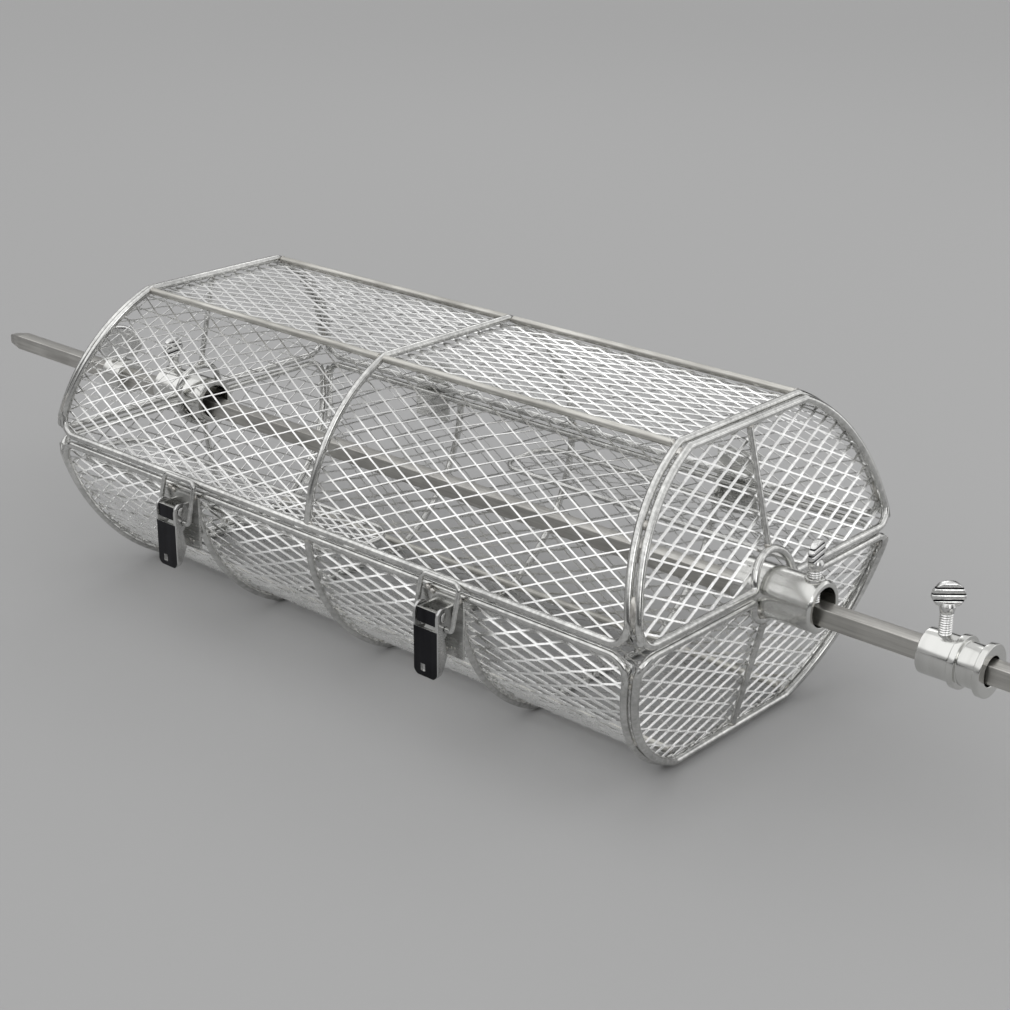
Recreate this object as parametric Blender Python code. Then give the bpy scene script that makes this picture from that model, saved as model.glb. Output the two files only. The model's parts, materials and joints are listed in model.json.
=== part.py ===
"""Rotisserie basket: a hinged drum of wire and expanded metal on a square spit.

Units are metres and +Z is up. The spit runs along X and the lid opens on the -Y side.
The origin is under the middle of the basket, on the flat that the basket rests on.
"""
import math
from collections import namedtuple

import bmesh
import bpy
from mathutils import Matrix, Vector
from mathutils.geometry import delaunay_2d_cdt

# Clearance between pieces that touch
GAP = 0.0003

# Basket, measured between wire centres. Its seams lie above and below the hubs' axis.
SEAM_LENGTH = 0.360
SEAM_WIDTH = 0.180
FLAT_LENGTH = 0.326
FLAT_WIDTH = 0.082
LID_HEIGHT = 0.0668
BASE_HEIGHT = 0.0700
LID_SEAM_RISE = 0.0040
BASE_SEAM_DROP = 0.0008
SIDE_RADIUS = 0.080
CORNER_RADIUS = 0.008
ARCH_FOOT_RADIUS = 0.0025
END_INSET = 0.0013

# Wire diameters
FRAME_WIRE = 0.0036
ROD_WIRE = 0.0036
SPOKE_WIRE = 0.0028
PADDLE_WIRE = 0.0026
BAIL_WIRE = 0.0024

# Expanded metal
NET_THICKNESS = 0.0010
NET_LONG_PITCH = 0.050
NET_SHORT_PITCH = 0.025
NET_STRAND = 0.0028
NET_BORDER = 0.0035
NET_CORNER_CUT = 0.004

# Hubs at the basket's ends
HUB_RADIUS = 0.0113
HUB_BORE_RADIUS = 0.0085
HUB_LENGTH = 0.0385
HUB_INSET = 0.010
HUB_CHAMFER = 0.0010
HUB_BOSS_RADIUS = 0.0042
HUB_BOSS_HEIGHT = 0.0008
HUB_SCREW_INSET = 0.0055

# Spit
SPIT_SIZE = 0.008
SPIT_LENGTH = 0.700
SPIT_SHIFT = -0.002
SPIT_POINT_LENGTH = 0.010
SPIT_POINT_SIZE = 0.005

# Stop collars and bearing bush on the spit
RIGHT_COLLAR_X = 0.2625
LEFT_COLLAR_X = -0.249
COLLAR_LENGTH = 0.014
COLLAR_RADIUS = 0.0095
COLLAR_CHAMFER = 0.0006
BUSH_LENGTH = 0.014
BUSH_RADIUS = 0.0110
BUSH_GROOVE_RADIUS = 0.0090
BUSH_RIM = 0.003

# Thumb screws
SCREW_RADIUS = 0.0028
SCREW_NECK_RADIUS = 0.0034
HUB_SCREW_STAND = 0.006
RIGHT_SCREW_STAND = 0.0115
LEFT_SCREW_STAND = 0.001
BLADE_WIDTH = 0.0135
BLADE_HEIGHT = 0.0102
BLADE_THICKNESS = 0.0032
BIG_BLADE_SCALE = 1.75
HUB_BLADE_TURN = math.radians(100.0)
COLLAR_BLADE_TURN = math.radians(42.0)

# Toggle latches on the near seam
LATCH_X = 0.0838
LATCH_HOOP_SHIFT = 0.007
PLATE_WIDTH = 0.025
PLATE_HEIGHT = 0.0263
PLATE_DROP = 0.0006
PLATE_THICKNESS = 0.0012
LEVER_PIVOT_DROP = 0.0080
LEVER_PIVOT_OUT = 0.0055
LEVER_WIDTH = 0.0139
LEVER_LENGTH = 0.0282
LEVER_WALL = 0.0012
LEVER_CROWN_RADIUS = 0.0040
LEVER_SHOULDER_BACK = 0.0034
LEVER_SHOULDER_DROP = 0.0012
LEVER_WAIST_BACK = 0.0002
LEVER_WAIST_DROP = 0.0042
LEVER_BELLY_BACK = 0.0020
LEVER_BELLY_DROP = 0.0124
LEVER_TIP_DEPTH = 0.0018
LEVER_WINDOW = 0.0059
LEVER_SLOT_WIDTH = 0.0024
LEVER_SLOT_HEIGHT = 0.0032
LEVER_SLOT_RISE = 0.0027
LEVER_SLOT_SHIFT = -0.0014
BRACKET_REACH = 0.0032
BRACKET_RISE = 0.0026
BRACKET_DROP = 0.0041
BAIL_PIVOT_IN = 0.0008
BAIL_PIVOT_DROP = 0.0056
BAIL_HALF_WIDTH = 0.0106
BAIL_CORNER_RADIUS = 0.0030
BAIL_RISE = 0.0055
PIVOT_PIN_RADIUS = 0.0014
PIVOT_HEAD_RADIUS = 0.0022
PIVOT_HEAD_THICKNESS = 0.0004

# Hinges on the far seam
HINGE_X = 0.100
HINGE_WIDTH = 0.024
HINGE_LEAF_HEIGHT = 0.016
HINGE_LEAF_THICKNESS = 0.0012
KNUCKLE_RADIUS = 0.0032
KNUCKLE_WIDTH = 0.008
HINGE_PIN_RADIUS = 0.0014

# Paddles that tumble the food
PADDLE_LENGTH = 0.187
PADDLE_WIDTH = 0.036
PADDLE_DROP = 0.0085
PADDLE_CORNER_RADIUS = 0.012

# Facets
WIRE_SIDES = 8
THIN_WIRE_SIDES = 6
ROUND_SIDES = 20
SMALL_ROUND_SIDES = 12
ARC_STEPS = 6
CORNER_STEPS = 4
ARCH_STEPS = 8
SMOOTH_ANGLE = math.radians(40.0)

X_AXIS = Vector((1.0, 0.0, 0.0))
Z_AXIS = Vector((0.0, 0.0, 1.0))

# Sizes that follow from the ones above
FRAME_R = FRAME_WIRE / 2
ROD_R = ROD_WIRE / 2
WIRE_FLAT = FRAME_R * math.cos(math.pi / WIRE_SIDES)
AXIS_Z = BASE_SEAM_DROP + BASE_HEIGHT + WIRE_FLAT
NET_LEVEL = FRAME_R + GAP + NET_THICKNESS / 2
INNER_ROD_LEVEL = NET_LEVEL + NET_THICKNESS / 2 + GAP + ROD_R
END_FRAME_OUT = FRAME_WIRE + GAP
END_NET_OUT = FRAME_R - NET_THICKNESS / 2
SPOKE_OUT = FRAME_R + GAP + SPOKE_WIRE / 2
ARCH_RADIUS = HUB_RADIUS + GAP + FRAME_R
SPIT_DROP = math.sqrt((HUB_BORE_RADIUS - 2 * GAP) ** 2 - (SPIT_SIZE / 2) ** 2) - SPIT_SIZE / 2
SPIT_Z = AXIS_Z - SPIT_DROP
HUB_OUTER_X = SEAM_LENGTH / 2 - HUB_INSET + HUB_LENGTH
HUB_SCREW_X = HUB_OUTER_X - HUB_SCREW_INSET
SCREW_HOLE = SCREW_RADIUS + GAP
PIN_HOLE = PIVOT_PIN_RADIUS + GAP + 0.00005
HINGE_HOLE = HINGE_PIN_RADIUS + GAP + 0.00005
PLATE_BACK_Y = -(SEAM_WIDTH / 2 + FRAME_R + GAP)
PLATE_FRONT_Y = PLATE_BACK_Y - PLATE_THICKNESS
PIVOT_Y = PLATE_FRONT_Y - LEVER_PIVOT_OUT
PIVOT_Z = AXIS_Z - LEVER_PIVOT_DROP
BAIL_Y = PIVOT_Y + BAIL_PIVOT_IN
BAIL_Z = PIVOT_Z - BAIL_PIVOT_DROP
HINGE_Y = SEAM_WIDTH / 2 + FRAME_R + 2 * GAP + KNUCKLE_RADIUS


Half = namedtuple("Half", "sign seam height lean arc_centre arc_start arc_length")


def half_shape(sign, seam, height):
    """Lid or base: its seam's distance from the axis, its height, its ends' lean and its sides' arc.

    The near side's arc lies in the plane of Y and height over the seam.
    """
    low = Vector((-SEAM_WIDTH / 2, 0.0))
    high = Vector((-FLAT_WIDTH / 2, height))
    chord = high - low
    reach = math.sqrt(SIDE_RADIUS ** 2 - (chord.length / 2) ** 2)
    inward = Vector((chord.y, -chord.x)).normalized()
    centre = (low + high) / 2 + inward * reach
    start = math.atan2(low.y - centre.y, low.x - centre.x) % (2 * math.pi)
    end = math.atan2(high.y - centre.y, high.x - centre.x)
    lean = (SEAM_LENGTH - FLAT_LENGTH) / 2 / height
    return Half(sign, seam, height, lean, centre, start, (start - end) * SIDE_RADIUS)


LID = half_shape(1, LID_SEAM_RISE, LID_HEIGHT)
BASE = half_shape(-1, BASE_SEAM_DROP, BASE_HEIGHT)


def clear_scene():
    for item in list(bpy.data.objects):
        bpy.data.objects.remove(item, do_unlink=True)


def steel(name, colour, roughness):
    material = bpy.data.materials.new(name)
    material.use_nodes = True
    shader = material.node_tree.nodes["Principled BSDF"]
    shader.inputs["Base Color"].default_value = (*colour, 1.0)
    shader.inputs["Metallic"].default_value = 1.0
    shader.inputs["Roughness"].default_value = roughness
    return material


def add_object(name, shape, material):
    """Turns a bmesh into a named object with outward faces and smooth round sides."""
    bmesh.ops.recalc_face_normals(shape, faces=shape.faces)
    mesh = bpy.data.meshes.new(name)
    shape.to_mesh(mesh)
    shape.free()
    mesh.shade_smooth()
    mesh.set_sharp_from_angle(angle=SMOOTH_ANGLE)
    item = bpy.data.objects.new(name, mesh)
    bpy.context.scene.collection.objects.link(item)
    if material:
        mesh.materials.append(material)
    return item


def set_origin(item, point):
    item.data.transform(Matrix.Translation(-point))
    item.location = point


def combine(target, shape, operation):
    """Cuts a bmesh out of an object, or joins it on."""
    tool = add_object(target.name + "_tool", shape, None)
    tool.hide_render = True
    tool.display_type = "WIRE"
    change = target.modifiers.new(operation.lower(), "BOOLEAN")
    change.operation = operation
    change.solver = "EXACT"
    change.object = tool


def prism(outline, axis, low, high):
    """Solid made by drawing a flat outline along a world axis (0, 1 or 2)."""
    shape = bmesh.new()
    rings = []
    for level in (low, high):
        ring = []
        for first, second in outline:
            point = [first, second]
            point.insert(axis, level)
            ring.append(shape.verts.new(point))
        rings.append(ring)
    count = len(outline)
    shape.faces.new(rings[0])
    shape.faces.new(rings[1])
    for index in range(count):
        after = (index + 1) % count
        shape.faces.new((rings[0][index], rings[0][after], rings[1][after], rings[1][index]))
    return shape


def box(low, high):
    outline = [(low[1], low[2]), (high[1], low[2]), (high[1], high[2]), (low[1], high[2])]
    return prism(outline, 0, low[0], high[0])


def merged(*shapes):
    """One bmesh with the faces of several that don't touch."""
    whole = bmesh.new()
    for shape in shapes:
        copy = bpy.data.meshes.new("part")
        shape.to_mesh(copy)
        shape.free()
        whole.from_mesh(copy)
        bpy.data.meshes.remove(copy)
    return whole


def ring_points(radius, sides):
    """Points of a regular polygon with a flat towards each axis."""
    turns = [2 * math.pi * (index + 0.5) / sides for index in range(sides)]
    return [(radius * math.cos(turn), radius * math.sin(turn)) for turn in turns]


def turned(profile, sides, bored):
    """Solid of revolution about X from (x, radius) points, as a ring or with flat ends."""
    shape = bmesh.new()
    rings = []
    for along, radius in profile:
        rings.append([shape.verts.new((along, y, z)) for y, z in ring_points(radius, sides)])
    pairs = list(zip(rings, rings[1:]))
    if bored:
        pairs.append((rings[-1], rings[0]))
    else:
        shape.faces.new(rings[0])
        shape.faces.new(rings[-1])
    for first, second in pairs:
        for index in range(sides):
            after = (index + 1) % sides
            shape.faces.new((first[index], first[after], second[after], second[index]))
    return shape


def rod(radius, low, high, centre_y, centre_z, sides=SMALL_ROUND_SIDES):
    shape = turned([(low, radius), (high, radius)], sides, bored=False)
    bmesh.ops.translate(shape, verts=shape.verts, vec=(0, centre_y, centre_z))
    return shape


def sweep(name, path, wire, references, closed, material, sides=WIRE_SIDES):
    """Wire along a path. Each reference is the direction that one flat of the wire faces."""
    shape = bmesh.new()
    count = len(path)
    rings = []
    for index, point in enumerate(path):
        before = path[index - 1] if closed or index else point
        after = path[(index + 1) % count] if closed or index < count - 1 else point
        tangent = ((point - before).normalized() + (after - point).normalized()).normalized()
        reference = references[index]
        normal = (reference - tangent * reference.dot(tangent)).normalized()
        across = tangent.cross(normal)
        ring = [shape.verts.new(point + normal * a + across * b) for a, b in ring_points(wire / 2, sides)]
        rings.append(ring)
    pairs = list(zip(rings, rings[1:]))
    if closed:
        pairs.append((rings[-1], rings[0]))
    else:
        shape.faces.new(rings[0])
        shape.faces.new(rings[-1])
    for first, second in pairs:
        for index in range(sides):
            after = (index + 1) % sides
            shape.faces.new((first[index], first[after], second[after], second[index]))
    return add_object(name, shape, material)


def corner_arc(before, corner, after, radius):
    """Points of the arc that rounds one corner of a polyline."""
    to_before = (before - corner).normalized()
    to_after = (after - corner).normalized()
    half_angle = to_before.angle(to_after) / 2
    reach = radius / math.tan(half_angle)
    centre = corner + (to_before + to_after).normalized() * radius / math.sin(half_angle)
    start = corner + to_before * reach - centre
    end = corner + to_after * reach - centre
    turn = start.angle(end)
    axis = start.cross(end).normalized()
    spins = [Matrix.Rotation(turn * step / CORNER_STEPS, 3, axis) for step in range(CORNER_STEPS + 1)]
    return [centre + spin @ start for spin in spins]


def rounded(corners):
    """Closed or open polyline through (point, radius) corners. The ends of an open one have radius 0."""
    path = []
    for index, (point, radius) in enumerate(corners):
        if radius:
            after = corners[(index + 1) % len(corners)][0]
            path.extend(corner_arc(corners[index - 1][0], point, after, radius))
        else:
            path.append(point)
    return path


def end_x(half, height, out=0.0):
    """Half length of the basket at a height over the seam, a distance out of its leaning end."""
    return SEAM_LENGTH / 2 - half.lean * height + out * math.hypot(1, half.lean)


def spot(half, x, y, height):
    """World point from a height over the lid's seam, or under the base's."""
    return Vector((x, y, AXIS_Z + half.sign * (half.seam + height)))


def side_point(half, along, level):
    """Point (y, height) of the near side at a length along its arc, at a level inside the wire centres."""
    angle = half.arc_start - along / SIDE_RADIUS
    radius = SIDE_RADIUS - level
    return half.arc_centre.x + radius * math.cos(angle), half.arc_centre.y + radius * math.sin(angle)


def side_y(half, height, level):
    """Near side's y at a height, at a level inside the wire centres."""
    return half.arc_centre.x - math.sqrt((SIDE_RADIUS - level) ** 2 - (height - half.arc_centre.y) ** 2)


def section(half, first=0.0, level=0.0):
    """Points (y, height) over one half, from the near seam to the far one."""
    steps = [first + (half.arc_length - first) * step / ARC_STEPS for step in range(ARC_STEPS + 1)]
    near = [side_point(half, along, level) for along in steps]
    near.append((-FLAT_WIDTH / 2 + FRAME_WIRE, half.height - level))
    far = [(-y, height) for y, height in reversed(near)]
    return near + far


def outward(half, point):
    """Direction out of the basket at a point of the skin frame."""
    height = half.sign * (point.z - AXIS_Z) - half.seam
    if abs(point.y) < FLAT_WIDTH / 2 - FRAME_R:
        return Vector((0.0, 0.0, half.sign))
    side = 1 if point.y > 0 else -1
    across = Vector((abs(point.y) + half.arc_centre.x, height - half.arc_centre.y)).normalized()
    return Vector((0.0, side * across.x, half.sign * across.y))


def skin_frame(name, half, material):
    """One closed wire: both seams and, between them, the edges of both ends."""
    corners = []
    for side in (1, -1):
        points = section(half)[::side]
        for index, (y, height) in enumerate(points):
            at_seam = index in (0, len(points) - 1)
            radius = CORNER_RADIUS if at_seam else 0.0
            corners.append((spot(half, side * end_x(half, height), y, height), radius))
    path = rounded(corners)
    references = [outward(half, point) for point in path]
    return sweep(name, path, FRAME_WIRE, references, True, material)


def arch_points(half):
    """Points (y, height) of the arch round the hub, from the far foot to the near one.

    The base's arch hugs the hub. The lid's stands clear of it and is centred on the lid's seam.
    """
    centre = 0.0 if half is LID else -half.seam
    foot = math.asin(-centre / ARCH_RADIUS)
    turns = [foot + (math.pi - 2 * foot) * step / ARCH_STEPS for step in range(ARCH_STEPS + 1)]
    return [(ARCH_RADIUS * math.cos(turn), centre + ARCH_RADIUS * math.sin(turn)) for turn in turns]


def end_frame(name, half, side, material):
    """Closed wire round one end, with an arch over the hub."""
    def at(y, height):
        return spot(half, side * end_x(half, height, END_FRAME_OUT), y, height)

    corners = []
    outline = section(half, level=END_INSET)
    for index, (y, height) in enumerate(outline):
        at_seam = index in (0, len(outline) - 1)
        corners.append((at(y, height), CORNER_RADIUS if at_seam else 0.0))
    for index, (y, height) in enumerate(arch_points(half)):
        at_foot = index in (0, ARCH_STEPS)
        corners.append((at(y, height), ARCH_FOOT_RADIUS if at_foot else 0.0))
    path = rounded(corners)
    return sweep(name, path, FRAME_WIRE, [X_AXIS] * len(path), True, material)


def hoop(name, half, x, material):
    """Wire round one half, butted on both seam wires."""
    path = [spot(half, x, y, height) for y, height in section(half, FRAME_R + GAP)]
    return sweep(name, path, FRAME_WIRE, [X_AXIS] * len(path), False, material)


def lid_rod(name, side, end, material):
    """Rod along half of an edge of the lid's flat, butted between the hoop and the frame."""
    y, height = side_point(LID, LID.arc_length - ROD_R, 0.0)
    start = FRAME_R + GAP
    stop = end_x(LID, height + ROD_R, -FRAME_R) - GAP
    path = [spot(LID, end * x, -side * y, height) for x in (start, stop)]
    return sweep(name, path, ROD_WIRE, [Z_AXIS] * 2, False, material)


def base_rod(name, side, material):
    """Rod along one edge of the base's flat, in the bend of the sheets."""
    height = BASE.height - INNER_ROD_LEVEL
    y = side_y(BASE, height, INNER_ROD_LEVEL)
    reach = end_x(BASE, height + ROD_R)
    path = [spot(BASE, end * reach, -side * y, height) for end in (-1, 1)]
    return sweep(name, path, ROD_WIRE, [Z_AXIS] * 2, False, material)


def spoke(name, half, side, material):
    """Wire from the arch to the middle of the flat's edge."""
    top = max(height for _, height in arch_points(half))
    low = top + FRAME_R + GAP
    high = half.height - END_INSET - FRAME_R - GAP
    path = [spot(half, side * end_x(half, height, SPOKE_OUT), 0.0, height) for height in (low, high)]
    return sweep(name, path, SPOKE_WIRE, [X_AXIS] * 2, False, material, THIN_WIRE_SIDES)


def clipped(polygon, convex):
    """Part of a polygon that lies inside a convex one, both counterclockwise."""
    for index, start in enumerate(convex):
        along = convex[(index + 1) % len(convex)] - start
        kept = []
        for place, point in enumerate(polygon):
            before = polygon[place - 1]
            inside = along.cross(point - start) >= 0
            if inside != (along.cross(before - start) >= 0):
                share = along.cross(start - before) / along.cross(point - before)
                kept.append(before.lerp(point, share))
            if inside:
                kept.append(point)
        polygon = kept
    return polygon


def area(polygon):
    pairs = zip(polygon, polygon[1:] + polygon[:1])
    return sum(first.cross(second) for first, second in pairs) / 2


def net_gaps(clip, long_axis, blocked):
    """Diamond gaps of expanded metal that fall inside a convex outline."""
    half_u = (NET_LONG_PITCH if long_axis == 0 else NET_SHORT_PITCH) / 2
    half_v = (NET_SHORT_PITCH if long_axis == 0 else NET_LONG_PITCH) / 2
    inset = 1 - NET_STRAND / 2 * math.hypot(half_u, half_v) / (half_u * half_v)
    low_u, high_u = (pick(point.x for point in clip) for pick in (min, max))
    low_v, high_v = (pick(point.y for point in clip) for pick in (min, max))
    middle = Vector(((low_u + high_u) / 2, (low_v + high_v) / 2))
    columns = math.ceil((high_u - low_u) / 2 / half_u) + 1
    rows = math.ceil((high_v - low_v) / 2 / half_v) + 1
    corners = [Vector((half_u, 0)), Vector((0, half_v)), Vector((-half_u, 0)), Vector((0, -half_v))]
    whole = 2 * half_u * half_v * inset ** 2
    gaps = []
    for column in range(-columns, columns + 1):
        for row in range(-rows, rows + 1):
            if (column + row) % 2:
                continue
            centre = middle + Vector((column * half_u, row * half_v))
            gap = clipped([centre + corner * inset for corner in corners], clip)
            if len(gap) < 3 or area(gap) < whole / 6:
                continue
            if not any(blocked(point) for point in gap):
                gaps.append(gap)
    return gaps


def inside(point, polygon):
    pairs = zip(polygon, polygon[1:] + polygon[:1])
    return all((second - first).cross(point - first) >= 0 for first, second in pairs)


def net(name, outline, clip, to_space, material, long_axis=0, blocked=lambda point: False):
    """Sheet with diamond gaps. to_space(u, v, w) places a point, with w across the sheet."""
    gaps = net_gaps(clip, long_axis, blocked)
    points = []
    edges = []
    for loop in [outline] + gaps:
        first = len(points)
        points.extend(loop)
        edges.extend((first + index, first + (index + 1) % len(loop)) for index in range(len(loop)))
    flat, _, faces, _, _, _ = delaunay_2d_cdt(points, edges, [list(range(len(outline)))], 1, 1e-7)
    solid_faces = []
    for face in faces:
        centre = sum((flat[index] for index in face), Vector((0.0, 0.0))) / len(face)
        if not any(inside(centre, gap) for gap in gaps):
            solid_faces.append(face)
    shape = bmesh.new()
    top = [shape.verts.new(to_space(point.x, point.y, NET_THICKNESS / 2)) for point in flat]
    bottom = [shape.verts.new(to_space(point.x, point.y, -NET_THICKNESS / 2)) for point in flat]
    rim = {}
    for face in solid_faces:
        shape.faces.new([top[index] for index in face])
        shape.faces.new([bottom[index] for index in reversed(face)])
        for first, second in zip(face, face[1:] + face[:1]):
            if (second, first) in rim:
                del rim[(second, first)]
            else:
                rim[(first, second)] = True
    for first, second in rim:
        shape.faces.new((top[second], top[first], bottom[first], bottom[second]))
    loose = [vertex for vertex in shape.verts if not vertex.link_faces]
    bmesh.ops.delete(shape, geom=loose, context="VERTS")
    return add_object(name, shape, material)


def spaced(first, last):
    """Points from one corner up to the next, no further apart than the net's long pitch."""
    count = max(1, math.ceil((last - first).length / NET_LONG_PITCH))
    return [first.lerp(last, step / count) for step in range(count)]


def net_bend(half):
    """Where the near side's sheet meets the flat one: y, and the length along the arc."""
    height = half.height - NET_LEVEL
    y = side_y(half, height, NET_LEVEL)
    turn = math.atan2(height - half.arc_centre.y, y - half.arc_centre.x)
    return y, (half.arc_start - turn) * SIDE_RADIUS


def side_net(name, half, side, material):
    """Curved sheet from a seam to the flat's edge. Its u runs along X and its v along the arc."""
    top = net_bend(half)[1] - GAP

    def edge(along):
        return end_x(half, side_point(half, along, NET_LEVEL)[1])

    def to_space(u, v, w):
        y, height = side_point(half, v, NET_LEVEL - w)
        return spot(half, u, -side * y, height)

    rises = [NET_CORNER_CUT + (top - NET_CORNER_CUT) * step / ARC_STEPS for step in range(ARC_STEPS + 1)]
    right = [Vector((edge(along), along)) for along in rises]
    left = [Vector((-point.x, point.y)) for point in reversed(right)]
    low_right = Vector((edge(0.0) - NET_CORNER_CUT, 0.0))
    low_left = Vector((-low_right.x, 0.0))
    outline = spaced(low_left, low_right) + [low_right] + right[:-1]
    outline += spaced(right[-1], left[0]) + left + [low_left]
    outline.pop()
    bow = half.lean * (side_point(half, half.arc_length / 2, 0.0)[1] - half.height / 2)
    low_reach = edge(0.0) - NET_BORDER - bow
    high_reach = edge(top) - NET_BORDER - bow
    clip = [
        Vector((-low_reach, NET_BORDER)),
        Vector((low_reach, NET_BORDER)),
        Vector((high_reach, top - NET_BORDER)),
        Vector((-high_reach, top - NET_BORDER)),
    ]
    return net(name, outline, clip, to_space, material)


def flat_net(name, half, material):
    """Flat sheet between the two sides' sheets."""
    width = -net_bend(half)[0] - GAP
    reach = end_x(half, half.height - NET_LEVEL)

    def to_space(u, v, w):
        return spot(half, u, v, half.height - NET_LEVEL + w)

    signs = ((-1, -1), (1, -1), (1, 1), (-1, 1))
    corners = [Vector((u * reach, v * width)) for u, v in signs]
    outline = []
    for index, corner in enumerate(corners):
        outline.extend(spaced(corner, corners[(index + 1) % len(corners)]))
    inner = Vector((reach - NET_BORDER, width - NET_BORDER))
    clip = [Vector((math.copysign(inner.x, c.x), math.copysign(inner.y, c.y))) for c in corners]
    return net(name, outline, clip, to_space, material)


def end_outline(half, level, low):
    """Outline (y, height) of an end at a level inside the wire centres, above a lowest height."""
    radius = SIDE_RADIUS - level
    high = half.height - level
    centre = half.arc_centre
    start = math.asin((low - centre.y) / radius)
    stop = math.asin((high - centre.y) / radius)
    turns = [start + (stop - start) * step / ARC_STEPS for step in range(ARC_STEPS + 1)]
    near = [(centre.x - radius * math.cos(turn), centre.y + radius * math.sin(turn)) for turn in turns]
    return [Vector((-y, height)) for y, height in near] + [Vector(point) for point in reversed(near)]


def end_net(name, half, side, material):
    """Sheet in one end, cut out round the hub's arch. Its u runs along Y and its v upwards."""
    def to_space(u, v, w):
        return spot(half, side * end_x(half, v, END_NET_OUT + w), u, v)

    notch = [Vector(point) for point in reversed(arch_points(half))]

    def blocked(point):
        return any((point - rim).length < NET_BORDER for rim in notch) or point.length < ARCH_RADIUS

    upper = end_outline(half, FRAME_R + GAP, NET_CORNER_CUT)
    low_y = upper[0].x - NET_CORNER_CUT
    outline = [Vector((-low_y, 0.0))] + notch + [Vector((low_y, 0.0))] + upper
    clip = end_outline(half, FRAME_R + GAP + NET_BORDER, NET_BORDER)
    return net(name, outline, clip, to_space, material, 0, blocked)


def paddle_corners(inset):
    """Corners (x, y) of the left paddle, at an inset from its wire's centre."""
    height = PADDLE_DROP - BASE_SEAM_DROP
    wall = side_y(BASE, height, FRAME_R + GAP + NET_THICKNESS) + GAP + PADDLE_WIRE / 2
    start = -end_x(BASE, height) + PADDLE_WIRE + GAP
    low = Vector((start + inset, wall + inset))
    high = Vector((start + PADDLE_LENGTH - inset, wall + PADDLE_WIDTH - inset))
    return [low, Vector((high.x, low.y)), high, Vector((low.x, high.y))]


def rounded_rectangle(inset, turn):
    """Closed outline of a paddle. turn is 1 for the left one and -1 for the right one."""
    radius = PADDLE_CORNER_RADIUS - inset
    corners = [(Vector((*(corner * turn), 0.0)), radius) for corner in paddle_corners(inset)]
    return rounded(corners)


def paddle(side_name, turn, wire, sheet):
    """Mesh flap in a wire loop, standing in from the base's side just under the seam."""
    level = AXIS_Z - PADDLE_DROP

    def to_space(u, v, w):
        return Vector((u, v, level + w))

    path = [Vector((point.x, point.y, level)) for point in rounded_rectangle(0.0, turn)]
    frame_name = side_name + "_paddle_frame"
    sweep(frame_name, path, PADDLE_WIRE, [Z_AXIS] * len(path), True, wire, THIN_WIRE_SIDES)
    edge = PADDLE_WIRE / 2 + GAP
    outline = [point.to_2d() for point in rounded_rectangle(edge, turn)]
    clip = [point.to_2d() for point in rounded_rectangle(edge + NET_BORDER, turn)]
    net(side_name + "_paddle_net", outline, clip, to_space, sheet)


def basket_half(prefix, half, wire, sheet):
    """Frame, mid hoop, spokes and nets of the lid or the base."""
    items = [skin_frame(prefix + "_frame", half, wire), hoop(prefix + "_mid_hoop", half, 0.0, wire)]
    for side_name, side in (("front", -1), ("back", 1)):
        items.append(side_net(f"{prefix}_{side_name}_net", half, side, sheet))
    items.append(flat_net(prefix + "_flat_net", half, sheet))
    for side_name, side in (("left", -1), ("right", 1)):
        items.append(end_frame(f"{prefix}_{side_name}_end_frame", half, side, wire))
        items.append(spoke(f"{prefix}_{side_name}_spoke", half, side, wire))
        items.append(end_net(f"{prefix}_{side_name}_end_net", half, side, sheet))
    return items


def upright(profile, sides, centre):
    """Solid of revolution about an upright axis from (z, radius) points."""
    shape = turned(profile, sides, bored=False)
    place = Matrix.Translation(centre) @ Matrix.Rotation(-math.pi / 2, 4, "Y")
    bmesh.ops.transform(shape, matrix=place, verts=shape.verts)
    return shape


def hub(name, side, material):
    """Sleeve in the base's arch, with a low boss for its thumb screw."""
    inner = SEAM_LENGTH / 2 - HUB_INSET
    profile = [
        (side * inner, HUB_BORE_RADIUS),
        (side * inner, HUB_RADIUS),
        (side * (HUB_OUTER_X - HUB_CHAMFER), HUB_RADIUS),
        (side * HUB_OUTER_X, HUB_RADIUS - HUB_CHAMFER),
        (side * HUB_OUTER_X, HUB_BORE_RADIUS),
    ]
    shape = turned(profile, ROUND_SIDES, bored=True)
    bmesh.ops.translate(shape, verts=shape.verts, vec=(0, 0, AXIS_Z))
    item = add_object(name, shape, material)
    centre = Vector((side * HUB_SCREW_X, 0, AXIS_Z))
    wall = (HUB_BORE_RADIUS + HUB_RADIUS) / 2
    boss = [(wall, HUB_BOSS_RADIUS), (HUB_RADIUS + HUB_BOSS_HEIGHT, HUB_BOSS_RADIUS)]
    combine(item, upright(boss, SMALL_ROUND_SIDES, centre), "UNION")
    hole = [(0.0, SCREW_HOLE), (2 * HUB_RADIUS, SCREW_HOLE)]
    combine(item, upright(hole, SMALL_ROUND_SIDES, centre), "DIFFERENCE")


def blade(low, scale, turn, centre):
    """Flat thumb piece with a round top. low is its lower edge over the centre, turn its place round Z."""
    half = BLADE_WIDTH * scale / 2
    shoulder = low + BLADE_HEIGHT * scale - half
    turns = [math.pi * step / ARC_STEPS for step in range(ARC_STEPS + 1)]
    arc = [(half * math.cos(angle), shoulder + half * math.sin(angle)) for angle in turns]
    outline = [(-half * 2 / 3, low), (half * 2 / 3, low)] + arc
    shape = prism(outline, 1, -BLADE_THICKNESS / 2, BLADE_THICKNESS / 2)
    place = Matrix.Translation(centre) @ Matrix.Rotation(turn, 4, "Z")
    bmesh.ops.transform(shape, matrix=place, verts=shape.verts)
    return shape


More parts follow.
